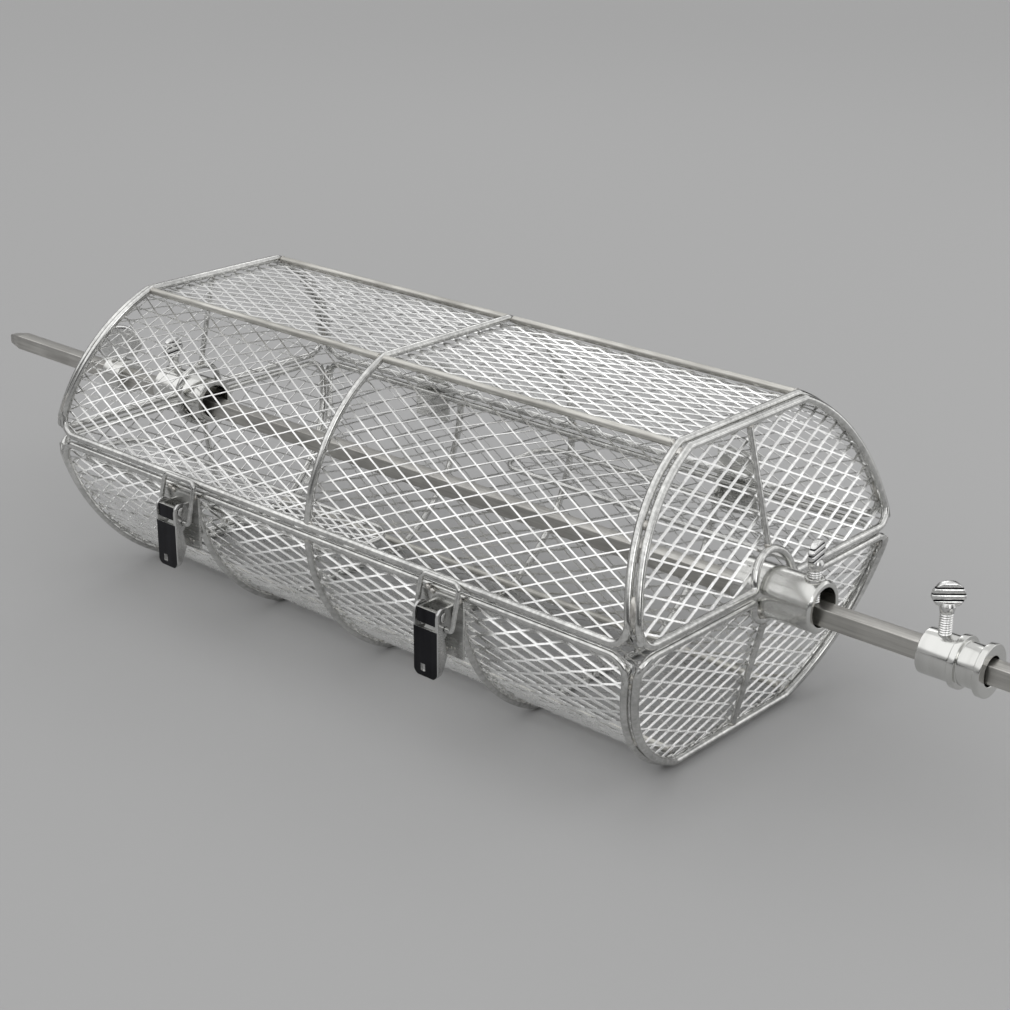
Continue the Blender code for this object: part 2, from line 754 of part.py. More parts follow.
def thumb_screw(name, centre, tip, seat, stand, scale, turn, material):
    """Upright screw. tip is its lower end, seat what it is screwed into and stand how far it stands out."""
    neck = seat + stand / 2
    low = seat + stand
    profile = [(tip, SCREW_RADIUS), (neck, SCREW_RADIUS), (low, SCREW_NECK_RADIUS)]
    profile.append((low + BLADE_THICKNESS / 2, SCREW_NECK_RADIUS))
    item = add_object(name, upright(profile, SMALL_ROUND_SIDES, centre), material)
    combine(item, blade(low, scale, turn, centre), "UNION")
    set_origin(item, centre)


def hub_screw(name, side, material):
    """Thumb screw through the hub's boss, down to the spit's upper face."""
    centre = Vector((side * HUB_SCREW_X, 0, AXIS_Z))
    tip = SPIT_SIZE / 2 - SPIT_DROP + GAP
    seat = HUB_RADIUS + HUB_BOSS_HEIGHT
    thumb_screw(name, centre, tip, seat, HUB_SCREW_STAND, 1.0, HUB_BLADE_TURN, material)


def spit(material):
    """Square bar with a short taper at its left end, where the motor takes it."""
    left = SPIT_SHIFT - SPIT_LENGTH / 2
    shape = bmesh.new()
    rings = []
    stations = (
        (left, SPIT_POINT_SIZE),
        (left + SPIT_POINT_LENGTH, SPIT_SIZE),
        (left + SPIT_LENGTH, SPIT_SIZE),
    )
    for x, size in stations:
        half = size / 2
        corners = ((-half, -half), (half, -half), (half, half), (-half, half))
        rings.append([shape.verts.new((x, y, SPIT_Z + z)) for y, z in corners])
    shape.faces.new(rings[0])
    shape.faces.new(rings[-1])
    for first, second in zip(rings, rings[1:]):
        for index in range(4):
            after = (index + 1) % 4
            shape.faces.new((first[index], first[after], second[after], second[index]))
    set_origin(add_object("spit_rod", shape, material), Vector((SPIT_SHIFT, 0, SPIT_Z)))


def collar(name, x, material):
    """Sleeve with a square bore, clamped on the spit."""
    half = COLLAR_LENGTH / 2
    profile = [
        (x - half, COLLAR_RADIUS - COLLAR_CHAMFER),
        (x - half + COLLAR_CHAMFER, COLLAR_RADIUS),
        (x + half - COLLAR_CHAMFER, COLLAR_RADIUS),
        (x + half, COLLAR_RADIUS - COLLAR_CHAMFER),
    ]
    shape = turned(profile, ROUND_SIDES, bored=False)
    bmesh.ops.translate(shape, verts=shape.verts, vec=(0, 0, SPIT_Z))
    item = add_object(name, shape, material)
    bore = SPIT_SIZE / 2 + GAP
    low = (x - COLLAR_LENGTH, -bore, SPIT_Z - bore)
    combine(item, box(low, (x + COLLAR_LENGTH, bore, SPIT_Z + bore)), "DIFFERENCE")
    hole = [(0.0, SCREW_HOLE), (2 * COLLAR_RADIUS, SCREW_HOLE)]
    combine(item, upright(hole, SMALL_ROUND_SIDES, Vector((x, 0, SPIT_Z))), "DIFFERENCE")


def collar_screw(name, x, stand, scale, material):
    """Thumb screw through a collar, down to the spit's upper face."""
    tip = SPIT_SIZE / 2 + GAP
    centre = Vector((x, 0, SPIT_Z))
    thumb_screw(name, centre, tip, COLLAR_RADIUS, stand, scale, COLLAR_BLADE_TURN, material)


def bush(material):
    """Grooved round bush that turns on the spit's corners and sits in a wall's slot."""
    low = RIGHT_COLLAR_X + COLLAR_LENGTH / 2 + GAP
    high = low + BUSH_LENGTH
    bore = SPIT_SIZE / 2 * math.sqrt(2) + 2 * GAP
    profile = [
        (low, bore),
        (low, BUSH_RADIUS),
        (low + BUSH_RIM, BUSH_RADIUS),
        (low + BUSH_RIM, BUSH_GROOVE_RADIUS),
        (high - BUSH_RIM, BUSH_GROOVE_RADIUS),
        (high - BUSH_RIM, BUSH_RADIUS),
        (high, BUSH_RADIUS),
        (high, bore),
    ]
    shape = turned(profile, ROUND_SIDES, bored=True)
    bmesh.ops.translate(shape, verts=shape.verts, vec=(0, 0, SPIT_Z))
    set_origin(add_object("spit_bush", shape, material), Vector(((low + high) / 2, 0, SPIT_Z)))


def latch_plate(name, x, material):
    """Plate under the base's seam wire, with a bracket bent to a U for the lever's pin."""
    half = PLATE_WIDTH / 2
    top = AXIS_Z - BASE_SEAM_DROP - PLATE_DROP
    low = (x - half, PLATE_FRONT_Y, top - PLATE_HEIGHT)
    item = add_object(name, box(low, (x + half, PLATE_BACK_Y, top)), material)
    front = PIVOT_Y - BRACKET_REACH
    root = PLATE_FRONT_Y + PLATE_THICKNESS / 2
    outer = LEVER_WIDTH / 2 - LEVER_WALL - GAP
    inner = outer - PLATE_THICKNESS
    outline = [
        (x - outer, root),
        (x - outer, front),
        (x + outer, front),
        (x + outer, root),
        (x + inner, root),
        (x + inner, front + PLATE_THICKNESS),
        (x - inner, front + PLATE_THICKNESS),
        (x - inner, root),
    ]
    combine(item, prism(outline, 2, PIVOT_Z - BRACKET_DROP, PIVOT_Z + BRACKET_RISE), "UNION")
    combine(item, rod(PIN_HOLE, x - LEVER_WIDTH, x + LEVER_WIDTH, PIVOT_Y, PIVOT_Z), "DIFFERENCE")


def latch_pin(name, x, material):
    """Rivet through the plate's bracket and the lever, with a head at each end."""
    inner = LEVER_WIDTH / 2 + GAP
    outer = inner + PIVOT_HEAD_THICKNESS
    profile = [
        (x - outer, PIVOT_HEAD_RADIUS),
        (x - inner, PIVOT_HEAD_RADIUS),
        (x - inner, PIVOT_PIN_RADIUS),
        (x + inner, PIVOT_PIN_RADIUS),
        (x + inner, PIVOT_HEAD_RADIUS),
        (x + outer, PIVOT_HEAD_RADIUS),
    ]
    shape = turned(profile, SMALL_ROUND_SIDES, bored=False)
    bmesh.ops.translate(shape, verts=shape.verts, vec=(0, PIVOT_Y, PIVOT_Z))
    add_object(name, shape, material)


def latch_lever(name, x, material):
    """Channel with a front wall, two shaped side walls with round tops and an open top."""
    crown = LEVER_CROWN_RADIUS
    bottom = -LEVER_LENGTH
    turns = [math.pi * (1 - step / ARC_STEPS) for step in range(ARC_STEPS + 1)]
    profile = [(-crown, bottom)] + [(crown * math.cos(turn), crown * math.sin(turn)) for turn in turns]
    profile += [
        (LEVER_SHOULDER_BACK, -BAIL_PIVOT_DROP - LEVER_SHOULDER_DROP),
        (LEVER_WAIST_BACK, -BAIL_PIVOT_DROP - LEVER_WAIST_DROP),
        (LEVER_BELLY_BACK, -BAIL_PIVOT_DROP - LEVER_BELLY_DROP),
        (LEVER_TIP_DEPTH - crown, bottom),
    ]
    outline = [(PIVOT_Y + y, PIVOT_Z + z) for y, z in profile]
    half = LEVER_WIDTH / 2
    item = add_object(name, prism(outline, 0, x - half, x + half), material)
    inner = half - LEVER_WALL
    wall = PIVOT_Y - crown + LEVER_WALL
    far = PIVOT_Y + 2 * crown
    low = PIVOT_Z - 2 * LEVER_LENGTH
    high = PIVOT_Z + 2 * crown
    combine(item, box((x - inner, wall, low), (x + inner, far, high)), "DIFFERENCE")
    front = PIVOT_Y - 2 * crown
    combine(item, box((x - inner, front, PIVOT_Z - LEVER_WINDOW), (x + inner, far, high)), "DIFFERENCE")
    slot_x = x + LEVER_SLOT_SHIFT
    slot_low = PIVOT_Z - LEVER_LENGTH + LEVER_SLOT_RISE
    slot_half = LEVER_SLOT_WIDTH / 2
    slot_high = slot_low + LEVER_SLOT_HEIGHT
    slot = box((slot_x - slot_half, front, slot_low), (slot_x + slot_half, PIVOT_Y, slot_high))
    reach = LEVER_WIDTH
    pin = rod(PIN_HOLE, x - reach, x + reach, PIVOT_Y, PIVOT_Z)
    bail = rod(BAIL_WIRE / 2 + GAP, x - reach, x + reach, BAIL_Y, BAIL_Z)
    combine(item, merged(slot, pin, bail), "DIFFERENCE")
    set_origin(item, Vector((x, PIVOT_Y, PIVOT_Z)))


def latch_bail(name, x, material):
    """Wire loop hung in the lever, whose bar stands against the lid's seam wire."""
    bar_y = -(SEAM_WIDTH / 2 + FRAME_R + GAP + BAIL_WIRE / 2)
    bar_z = AXIS_Z + BAIL_RISE
    end = LEVER_WIDTH / 2 - LEVER_WALL
    reach = BAIL_HALF_WIDTH
    corners = [
        (Vector((x - end, BAIL_Y, BAIL_Z)), 0.0),
        (Vector((x - reach, BAIL_Y, BAIL_Z)), BAIL_WIRE / 2),
        (Vector((x - reach, bar_y, bar_z)), BAIL_CORNER_RADIUS),
        (Vector((x + reach, bar_y, bar_z)), BAIL_CORNER_RADIUS),
        (Vector((x + reach, BAIL_Y, BAIL_Z)), BAIL_WIRE / 2),
        (Vector((x + end, BAIL_Y, BAIL_Z)), 0.0),
    ]
    path = rounded(corners)
    face = Vector((0.0, bar_z - BAIL_Z, BAIL_Y - bar_y)).normalized()
    item = sweep(name, path, BAIL_WIRE, [face] * len(path), False, material)
    set_origin(item, Vector((x, BAIL_Y, BAIL_Z)))


def latch(side_name, x, plate, lever, wire):
    latch_plate(side_name + "_latch_plate", x, plate)
    latch_pin(side_name + "_latch_pin", x, plate)
    latch_lever(side_name + "_latch_lever", x, lever)
    latch_bail(side_name + "_latch_bail", x, wire)


def hinge_leaf(name, x, half, material):
    """Plate on a far seam wire with its share of the knuckles. The lid's leaf has the middle one."""
    inner = SEAM_WIDTH / 2 + FRAME_R + GAP
    width = HINGE_WIDTH / 2
    low, high = sorted((AXIS_Z, AXIS_Z + half.sign * HINGE_LEAF_HEIGHT))
    leaf = box((x - width, inner, low), (x + width, inner + HINGE_LEAF_THICKNESS, high))
    item = add_object(name, leaf, material)
    barrel = rod(KNUCKLE_RADIUS, x - width, x + width, HINGE_Y, AXIS_Z, ROUND_SIDES)
    combine(item, barrel, "UNION")
    reach = KNUCKLE_RADIUS + 2 * GAP
    low_y = inner - GAP
    high_y = HINGE_Y + reach
    middle = KNUCKLE_WIDTH / 2
    if half is LID:
        start = middle - GAP / 2
        stop = width + GAP
        rooms = [(x - stop, x - start), (x + start, x + stop)]
    else:
        start = middle + GAP / 2
        rooms = [(x - start, x + start)]
    notches = [box((a, low_y, AXIS_Z - reach), (b, high_y, AXIS_Z + reach)) for a, b in rooms]
    combine(item, merged(*notches), "DIFFERENCE")
    combine(item, rod(HINGE_HOLE, x - HINGE_WIDTH, x + HINGE_WIDTH, HINGE_Y, AXIS_Z), "DIFFERENCE")
    return item


def hinge(side_name, x, material):
    hinge_leaf(side_name + "_hinge_base_leaf", x, BASE, material)
    reach = HINGE_WIDTH / 2
    pin = rod(HINGE_PIN_RADIUS, x - reach, x + reach, HINGE_Y, AXIS_Z)
    add_object(side_name + "_hinge_pin", pin, material)
    return hinge_leaf(side_name + "_hinge_lid_leaf", x, LID, material)


def lid_pivot(items):
    """Empty on the hinge axis that carries the lid's pieces."""
    pivot = bpy.data.objects.new("lid_pivot", None)
    bpy.context.scene.collection.objects.link(pivot)
    pivot.location = (0.0, HINGE_Y, AXIS_Z)
    for item in items:
        item.parent = pivot
        item.location = -pivot.location


def main():
    clear_scene()
    wire = steel("polished_wire", (0.78, 0.78, 0.76), 0.18)
    sheet = steel("expanded_metal", (0.80, 0.80, 0.78), 0.25)
    bar = steel("spit_steel", (0.50, 0.50, 0.48), 0.42)
    sleeve = steel("hub_steel", (0.66, 0.66, 0.64), 0.28)
    plate = steel("latch_steel", (0.70, 0.70, 0.68), 0.22)
    dark = steel("lever_steel", (0.32, 0.32, 0.34), 0.12)
    bright = steel("screw_steel", (0.82, 0.82, 0.82), 0.16)

    lid = basket_half("lid", LID, wire, sheet)
    basket_half("base", BASE, wire, sheet)
    for edge_name, edge in (("front", -1), ("back", 1)):
        base_rod(f"base_{edge_name}_rod", edge, wire)
        lid.append(lid_rod(f"lid_{edge_name}_left_rod", edge, -1, wire))
        lid.append(lid_rod(f"lid_{edge_name}_right_rod", edge, 1, wire))
    for side_name, side in (("left", -1), ("right", 1)):
        hoop(f"base_{side_name}_latch_hoop", BASE, side * LATCH_X + LATCH_HOOP_SHIFT, wire)
        paddle(side_name, -side, wire, sheet)
        hub(side_name + "_hub", side, sleeve)
        hub_screw(side_name + "_hub_screw", side, bright)
        latch(side_name, side * LATCH_X, plate, dark, wire)
        lid.append(hinge(side_name, side * HINGE_X, plate))
    lid_pivot(lid)
    spit(bar)
    collar("left_collar", LEFT_COLLAR_X, sleeve)
    collar("right_collar", RIGHT_COLLAR_X, sleeve)
    collar_screw("left_collar_screw", LEFT_COLLAR_X, LEFT_SCREW_STAND, BIG_BLADE_SCALE, bright)
    collar_screw("right_collar_screw", RIGHT_COLLAR_X, RIGHT_SCREW_STAND, 1.0, bright)
    bush(sleeve)


main()
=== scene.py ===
"""Looks of the rotisserie basket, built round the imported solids. Lengths are in metres."""
import json
import math
from collections import namedtuple

import bmesh
import bpy
from mathutils import Matrix, Vector, noise

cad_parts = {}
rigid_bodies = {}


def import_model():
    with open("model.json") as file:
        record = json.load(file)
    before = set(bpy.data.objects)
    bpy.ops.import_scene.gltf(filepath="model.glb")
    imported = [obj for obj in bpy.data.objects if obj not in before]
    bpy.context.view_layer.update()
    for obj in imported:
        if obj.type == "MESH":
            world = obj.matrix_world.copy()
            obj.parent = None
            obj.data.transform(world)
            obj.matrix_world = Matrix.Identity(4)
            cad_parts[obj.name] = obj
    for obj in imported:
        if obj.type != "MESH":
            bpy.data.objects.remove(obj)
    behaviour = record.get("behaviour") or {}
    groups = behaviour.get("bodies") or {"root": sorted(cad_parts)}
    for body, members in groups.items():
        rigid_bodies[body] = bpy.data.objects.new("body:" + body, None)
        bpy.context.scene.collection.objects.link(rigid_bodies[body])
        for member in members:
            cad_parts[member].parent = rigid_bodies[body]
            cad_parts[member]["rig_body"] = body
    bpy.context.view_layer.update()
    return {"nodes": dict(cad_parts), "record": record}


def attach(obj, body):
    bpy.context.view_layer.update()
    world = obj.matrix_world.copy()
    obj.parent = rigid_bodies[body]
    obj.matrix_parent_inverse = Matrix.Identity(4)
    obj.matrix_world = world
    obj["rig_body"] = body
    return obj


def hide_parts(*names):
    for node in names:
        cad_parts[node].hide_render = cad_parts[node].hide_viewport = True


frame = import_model()

# Camera, solved from the photo
IMAGE_SIDE = 1010
FOCAL_PIXELS = 1890.76
SENSOR = 36.0
CAMERA_TARGET = Vector((0.0465, -0.0125, 0.076463))
CAMERA_AZIMUTH = math.radians(41.7607)
CAMERA_ELEVATION = math.radians(21.8494)
CAMERA_ROLL = math.radians(0.479)
CAMERA_DISTANCE = 0.8525

# Basket, between wire centres, as in the solids
GAP = 0.0003
SEAM_LENGTH = 0.360
SEAM_WIDTH = 0.180
FLAT_LENGTH = 0.326
FLAT_WIDTH = 0.082
LID_HEIGHT = 0.0668
BASE_HEIGHT = 0.0700
LID_SEAM_RISE = 0.0040
BASE_SEAM_DROP = 0.0008
SIDE_RADIUS = 0.080
CORNER_RADIUS = 0.008
FLAT_BEND_RADIUS = 0.004
ARCH_FOOT_RADIUS = 0.0025
END_INSET = 0.0013
AXIS_Z = 0.072463
LATCH_X = 0.0838
LATCH_HOOP_SHIFT = 0.007

# Wire diameters, and the radii of the solids' wires
FRAME_WIRE = 0.0035
SPOKE_WIRE = 0.0028
PADDLE_WIRE = 0.0026
BAIL_WIRE = 0.0023
FRAME_R = 0.0018
ROD_R = 0.0018
BAIL_R = 0.0012

# Raised expanded metal
NET_LONG_PITCH = 0.0162
NET_SHORT_PITCH = 0.0077
NET_THICKNESS = 0.0004
FLAT_STRAND = 0.00095
FLAT_RISE = 0.00020
SIDE_STRAND = 0.00066
LID_SIDE_RISE = -0.00025
BASE_SIDE_RISE = 0.00060
END_STRAND = 0.00070
END_RISE = -0.00039
PADDLE_STRAND = 0.00080
PADDLE_RISE = 0.00030
NET_CORNER_CUT = 0.004
CAD_NET_THICKNESS = 0.001

# Hubs, spit, collars and bush
HUB_RADIUS = 0.0113
HUB_BORE_RADIUS = 0.0085
HUB_INNER_X = 0.170
HUB_OUTER_X = 0.2085
HUB_SCREW_X = 0.203
HUB_CHAMFER = 0.0010
BOSS_RADIUS = 0.0042
BOSS_HEIGHT = 0.0008
BOSS_ROOT = 0.002
SPIT_SIZE = 0.008
SPIT_EDGE = 0.0005
SPIT_LEFT_X = -0.352
SPIT_RIGHT_X = 0.348
SPIT_POINT_LENGTH = 0.010
SPIT_POINT_SIZE = 0.005
SPIT_Z = 0.06965
COLLAR_RADIUS = 0.0095
COLLAR_LENGTH = 0.014
RIGHT_COLLAR_X = 0.2625
LEFT_COLLAR_X = -0.249
BUSH_LENGTH = 0.014
BUSH_RADIUS = 0.011
BUSH_GROOVE_RADIUS = 0.009
BUSH_BORE_RADIUS = 0.00626
BUSH_RIM = 0.003
EDGE_RADIUS = 0.0004
COLLAR_EDGE = 0.00064

# Thumb screws
SCREW_RADIUS = 0.0028
SCREW_NECK_RADIUS = 0.0034
SCREW_NECK_LENGTH = 0.003
NECK_EDGE = 0.0003
NECK_TOP_EDGE = 0.0006
NECK_TOP_SHARE = 0.8
NECK_TIP_SHARE = 0.3
HUB_SCREW_STAND = 0.006
RIGHT_SCREW_STAND = 0.0115
LEFT_SCREW_STAND = 0.001
THREAD_PITCH = 0.001
THREAD_DEPTH = 0.0004
THREAD_SIDES = 24
THREAD_ROWS = 8
BLADE_WIDTH = 0.0135
BLADE_HEIGHT = 0.0102
BLADE_THICKNESS = 0.0032
BLADE_EDGE = 0.0007
BLADE_EDGE_SHARE = 0.9
BLADE_ROWS = 60
BLADE_FOOT_DEPTH = 0.0010
BLADE_FOOT_SLOPE = 2.0
CROWN_START = 0.87
CROWN_ANGLES = (64, 69, 74, 79, 83, 86, 88)
CROWN_LEAST = 1e-4
CROWN_DEPTH = 0.0006
CROWN_SLOPE = 0.5
BLADE_RIBS = 4
SMALL_BLADE_SCALE = 1.0
BIG_BLADE_SCALE = 1.75
GROOVE_DEPTH = 0.0009
# Blade faces where the ribs stand lower than this share get painted shade.
GROOVE_SHADE_SHARE = 0.6
FIRST_GROOVE = 0.1
LAST_GROOVE = 0.97
HUB_BLADE_TURN = math.radians(100.0)
COLLAR_BLADE_TURN = math.radians(42.0)

# Latches and hinges
PLATE_DROP = 0.0006
PLATE_FRONT_Y = -0.0933
PIVOT_Y = -0.0988
PIVOT_Z = 0.064463
BAIL_Y = -0.0980
BAIL_Z = 0.058863
BAIL_HALF_WIDTH = 0.0106
BAIL_CORNER_RADIUS = 0.0030
BAIL_RISE = 0.0055
LEVER_WIDTH = 0.0139
LEVER_LENGTH = 0.0282
LEVER_WALL = 0.0012
LEVER_CROWN_RADIUS = 0.0040
LEVER_BEND_RADIUS = 0.0009
LEVER_FOOT_RADIUS = 0.0042
LEVER_FOOT_CUTS = 7
# The lever's front gets the painted dark reflection below this drop under the pivot.
REFLECTION_PAINT_DROP = 0.0059
# The painted dark reflection covers front faces this far ahead of the lever's pivot.
REFLECTION_PAINT_AHEAD = 0.0020
PIN_RADIUS = 0.0014
PIN_HEAD_RADIUS = 0.0022
PIN_HEAD_HEIGHT = 0.0004
PIN_HEAD_STEPS = 9
HINGE_X = 0.100
HINGE_Y = 0.0956
HINGE_WIDTH = 0.024
SHEET_EDGE = 0.00025

# Paddles
PADDLE_LENGTH = 0.187
PADDLE_WIDTH = 0.036
PADDLE_DROP = 0.0085
PADDLE_CORNER_RADIUS = 0.012

# Welds, as half lengths of their beads
WELD_GRAIN = 700.0
WELD_LUMPS = 0.0003
SEAM_BEAD = (0.0027, 0.0014, 0.0012)
ROD_BEAD = (0.0014, 0.0019, 0.0014)
ROD_END_BEAD = (0.0012, 0.0020, 0.0020)
SPOKE_BEAD = (0.0016, 0.0020, 0.0011)
PAIR_BEAD = (0.0013, 0.0013, 0.0022)
FOOT_BEAD = (0.0022, 0.0017, 0.0062)
DOT_BEAD = (0.0011, 0.0012, 0.0013)
HUB_BEAD = (0.0020, 0.0014, 0.0012)
PLATE_BEAD = (0.0016, 0.0012, 0.0014)
PLATE_DOT = (0.0007, 0.0004, 0.0007)
PLATE_BEADS = ((-0.0073, 0.0012), (-0.0047, 0.0), (0.0102, 0.0))
PLATE_DOTS = ((0.0033, -0.0234), (0.0057, -0.0225), (0.0077, -0.0225))
FOOT_BEAD_ALONG = 0.0145
DOT_BEADS_ALONG = (0.0075, 0.0120)
PAIR_BEADS_SHARE = (0.55, 0.95)
FIRST_HUB_BEAD = 4
HUB_BEAD_STEP = 5

# Grain of the steel, and the ways it is stretched
GRAIN_DETAIL = 4.0
GRAIN_SHARE = 0.5
GRAIN_RELIEF = 0.0002
TARNISH_SCALE = 45.0
TARNISH_DETAIL = 3.0
DARK_BELOW = 0.36
LIGHT_ABOVE = 0.62
SMOOTH_ABOVE = 0.64
EVEN = (1.0, 1.0, 1.0)
ALONG_X = (0.04, 1.0, 1.0)
ROUND_X = (1.0, 0.02, 0.02)
ALONG_Z = (1.0, 1.0, 0.06)

# Studio, with each panel's name, place, size and power
CLIP_START = 0.01
FLOOR_TONE = 0.42
FLOOR_ROUGHNESS = 0.9
FLOOR_SHINE = 0.2
FLOOR_SIZE = 12.0
FLOOR_CELLS = 8
FLOOR_DROP = 0.0002
SKY_STOPS = ((0.0, 0.38), (0.06, 0.38), (0.11, 0.03), (0.28, 0.03), (0.42, 0.82), (1.0, 0.82))
SUN_PLACE = (-0.5, -0.6, 1.0)
SUN_STRENGTH = 0.62
SUN_ANGLE = math.radians(90.0)
PANELS = (
    ("side", (1.5, -0.7, 0.9), (0.5, 0.8), 2.4),
    ("rim", (-0.87, 1.12, 1.11), (0.7, 0.4), 1.1),
    ("end", (0.94, 0.90, 0.38), (1.3, 0.7), 2.2),
)

# Facets
WIRE_SIDES = 14
ROUND_SIDES = 56
PIN_SIDES = 28
ARC_STEPS = 24
ARCH_STEPS = 28
CORNER_STEPS = 8
EASE_STEPS = 4
BEND_STEPS = 3
SHEET_EDGE_STEPS = 2
BEAD_DETAIL = 2
FOOT_BEAD_DETAIL = 3
SMOOTH_ANGLE = math.radians(42.0)
FLAT_ANGLE = math.radians(1.0)
NEAR = 1e-5
PROBE = 1e-4
NET_MERGE = 2e-6
SOLID_MERGE = 1e-6
CUT_MERGE = 1e-7
SLIT_SIDES = 12
FRONT_FACING = -0.95

X_AXIS = Vector((1.0, 0.0, 0.0))
Z_AXIS = Vector((0.0, 0.0, 1.0))
RIGHT, TOP, LEFT, BOTTOM = range(4)

# Sizes that follow from the ones above
NET_LEVEL = FRAME_R + GAP + CAD_NET_THICKNESS / 2
INNER_ROD_LEVEL = NET_LEVEL + CAD_NET_THICKNESS / 2 + GAP + ROD_R
END_FRAME_OUT = 2 * FRAME_R + GAP
END_NET_OUT = FRAME_R - CAD_NET_THICKNESS / 2
SPOKE_OUT = FRAME_R + GAP + SPOKE_WIRE / 2
ARCH_RADIUS = HUB_RADIUS + GAP + FRAME_R
BAIL_BAR_Y = -(SEAM_WIDTH / 2 + FRAME_R + GAP + BAIL_R)

SLOTS = {row["node"]: row["material_slot"] for row in frame["record"]["subparts"]}

Half = namedtuple("Half", "sign seam height lean arc_centre arc_start arc_length")
Weave = namedtuple("Weave", "strand rise")


def half_shape(sign, seam, height):
    """Lid or base: its seam's distance from the axis, its height, its ends' lean and its sides' arc."""
    low = Vector((-SEAM_WIDTH / 2, 0.0))
    high = Vector((-FLAT_WIDTH / 2, height))
    chord = high - low
    reach = math.sqrt(SIDE_RADIUS ** 2 - (chord.length / 2) ** 2)
    inward = Vector((chord.y, -chord.x)).normalized()
    centre = (low + high) / 2 + inward * reach
    start = math.atan2(low.y - centre.y, low.x - centre.x) % (2 * math.pi)
    end = math.atan2(high.y - centre.y, high.x - centre.x)
    lean = (SEAM_LENGTH - FLAT_LENGTH) / 2 / height
    return Half(sign, seam, height, lean, centre, start, (start - end) * SIDE_RADIUS)


LID = half_shape(1, LID_SEAM_RISE, LID_HEIGHT)
BASE = half_shape(-1, BASE_SEAM_DROP, BASE_HEIGHT)


# Materials

def metal(name, dark, light, smooth, rough, scale, stretch, bump):
    """Bare steel whose grain varies its tone, its polish and its relief."""
    material = bpy.data.materials.new(name)
    material.use_nodes = True
    tree = material.node_tree
    shader = tree.nodes["Principled BSDF"]
    shader.inputs["Metallic"].default_value = 1.0
    place = tree.nodes.new("ShaderNodeTexCoord")
    mapping = tree.nodes.new("ShaderNodeMapping")
    mapping.inputs["Scale"].default_value = stretch
    tree.links.new(place.outputs["Object"], mapping.inputs["Vector"])
    grain = tree.nodes.new("ShaderNodeTexNoise")
    grain.inputs["Scale"].default_value = scale
    grain.inputs["Detail"].default_value = GRAIN_DETAIL
    tree.links.new(mapping.outputs["Vector"], grain.inputs["Vector"])
    tarnish = tree.nodes.new("ShaderNodeTexNoise")
    tarnish.inputs["Scale"].default_value = TARNISH_SCALE
    tarnish.inputs["Detail"].default_value = TARNISH_DETAIL
    tree.links.new(place.outputs["Object"], tarnish.inputs["Vector"])
    both = tree.nodes.new("ShaderNodeMath")
    both.operation = "MULTIPLY_ADD"
    both.inputs[1].default_value = GRAIN_SHARE
    tree.links.new(grain.outputs["Fac"], both.inputs[0])
    half = tree.nodes.new("ShaderNodeMath")
    half.operation = "MULTIPLY"
    half.inputs[1].default_value = 1 - GRAIN_SHARE
    tree.links.new(tarnish.outputs["Fac"], half.inputs[0])
    tree.links.new(half.outputs["Value"], both.inputs[2])
    tone = tree.nodes.new("ShaderNodeValToRGB")
    tone.color_ramp.elements[0].position = DARK_BELOW
    tone.color_ramp.elements[0].color = (*dark, 1.0)
    tone.color_ramp.elements[1].position = LIGHT_ABOVE
    tone.color_ramp.elements[1].color = (*light, 1.0)
    tree.links.new(both.outputs["Value"], tone.inputs["Fac"])
    tree.links.new(tone.outputs["Color"], shader.inputs["Base Color"])
    polish = tree.nodes.new("ShaderNodeMapRange")
    polish.inputs["From Min"].default_value = DARK_BELOW
    polish.inputs["From Max"].default_value = SMOOTH_ABOVE
    polish.inputs["To Min"].default_value = rough
    polish.inputs["To Max"].default_value = smooth
    tree.links.new(both.outputs["Value"], polish.inputs["Value"])
    tree.links.new(polish.outputs["Result"], shader.inputs["Roughness"])
    relief = tree.nodes.new("ShaderNodeBump")
    relief.inputs["Strength"].default_value = bump
    relief.inputs["Distance"].default_value = GRAIN_RELIEF
    tree.links.new(grain.outputs["Fac"], relief.inputs["Height"])
    tree.links.new(relief.outputs["Normal"], shader.inputs["Normal"])
    return material


MATERIALS = {
    "polished_wire": metal(
        "bright_wire", (0.46, 0.46, 0.45), (0.76, 0.76, 0.74), 0.14, 0.26, 500.0, EVEN, 0.05),
    "expanded_metal": metal(
        "bright_sheet", (0.72, 0.72, 0.71), (0.92, 0.92, 0.91), 0.20, 0.32, 420.0, EVEN, 0.08),
    "spit_steel": metal(
        "drawn_bar", (0.42, 0.41, 0.39), (0.60, 0.59, 0.56), 0.30, 0.44, 900.0, ALONG_X, 0.14),
    "hub_steel": metal(
        "turned_steel", (0.60, 0.60, 0.58), (0.70, 0.70, 0.68), 0.14, 0.22, 300.0, ROUND_X, 0.006),
    "latch_steel": metal(
        "pressed_sheet", (0.50, 0.50, 0.49), (0.74, 0.74, 0.72), 0.20, 0.36, 700.0, ALONG_X, 0.08),
    "lever_steel": metal(
        "bent_sheet", (0.44, 0.44, 0.44), (0.68, 0.68, 0.67), 0.16, 0.30, 500.0, ALONG_Z, 0.05),
    "screw_steel": metal(
        "bright_screw", (0.58, 0.58, 0.57), (0.84, 0.84, 0.83), 0.14, 0.28, 800.0, EVEN, 0.06),
}
# Near-black steel that paints shade into the blades' grooves and a dark reflection onto the fronts of the
# levers and plates.
PAINTED_SHADE_AND_REFLECTION = metal(
    "painted_shade_and_reflection", (0.016, 0.016, 0.018), (0.034, 0.034, 0.038), 0.10, 0.18, 300.0, ALONG_Z, 0.01)
SATIN_WIRE = metal(
    "satin_wire", (0.44, 0.43, 0.40), (0.66, 0.65, 0.61), 0.34, 0.48, 900.0, ALONG_X, 0.10)
WELD_STEEL = metal(
    "weld_bead", (0.34, 0.32, 0.29), (0.74, 0.73, 0.70), 0.22, 0.44, 900.0, EVEN, 0.40)


# Shapes

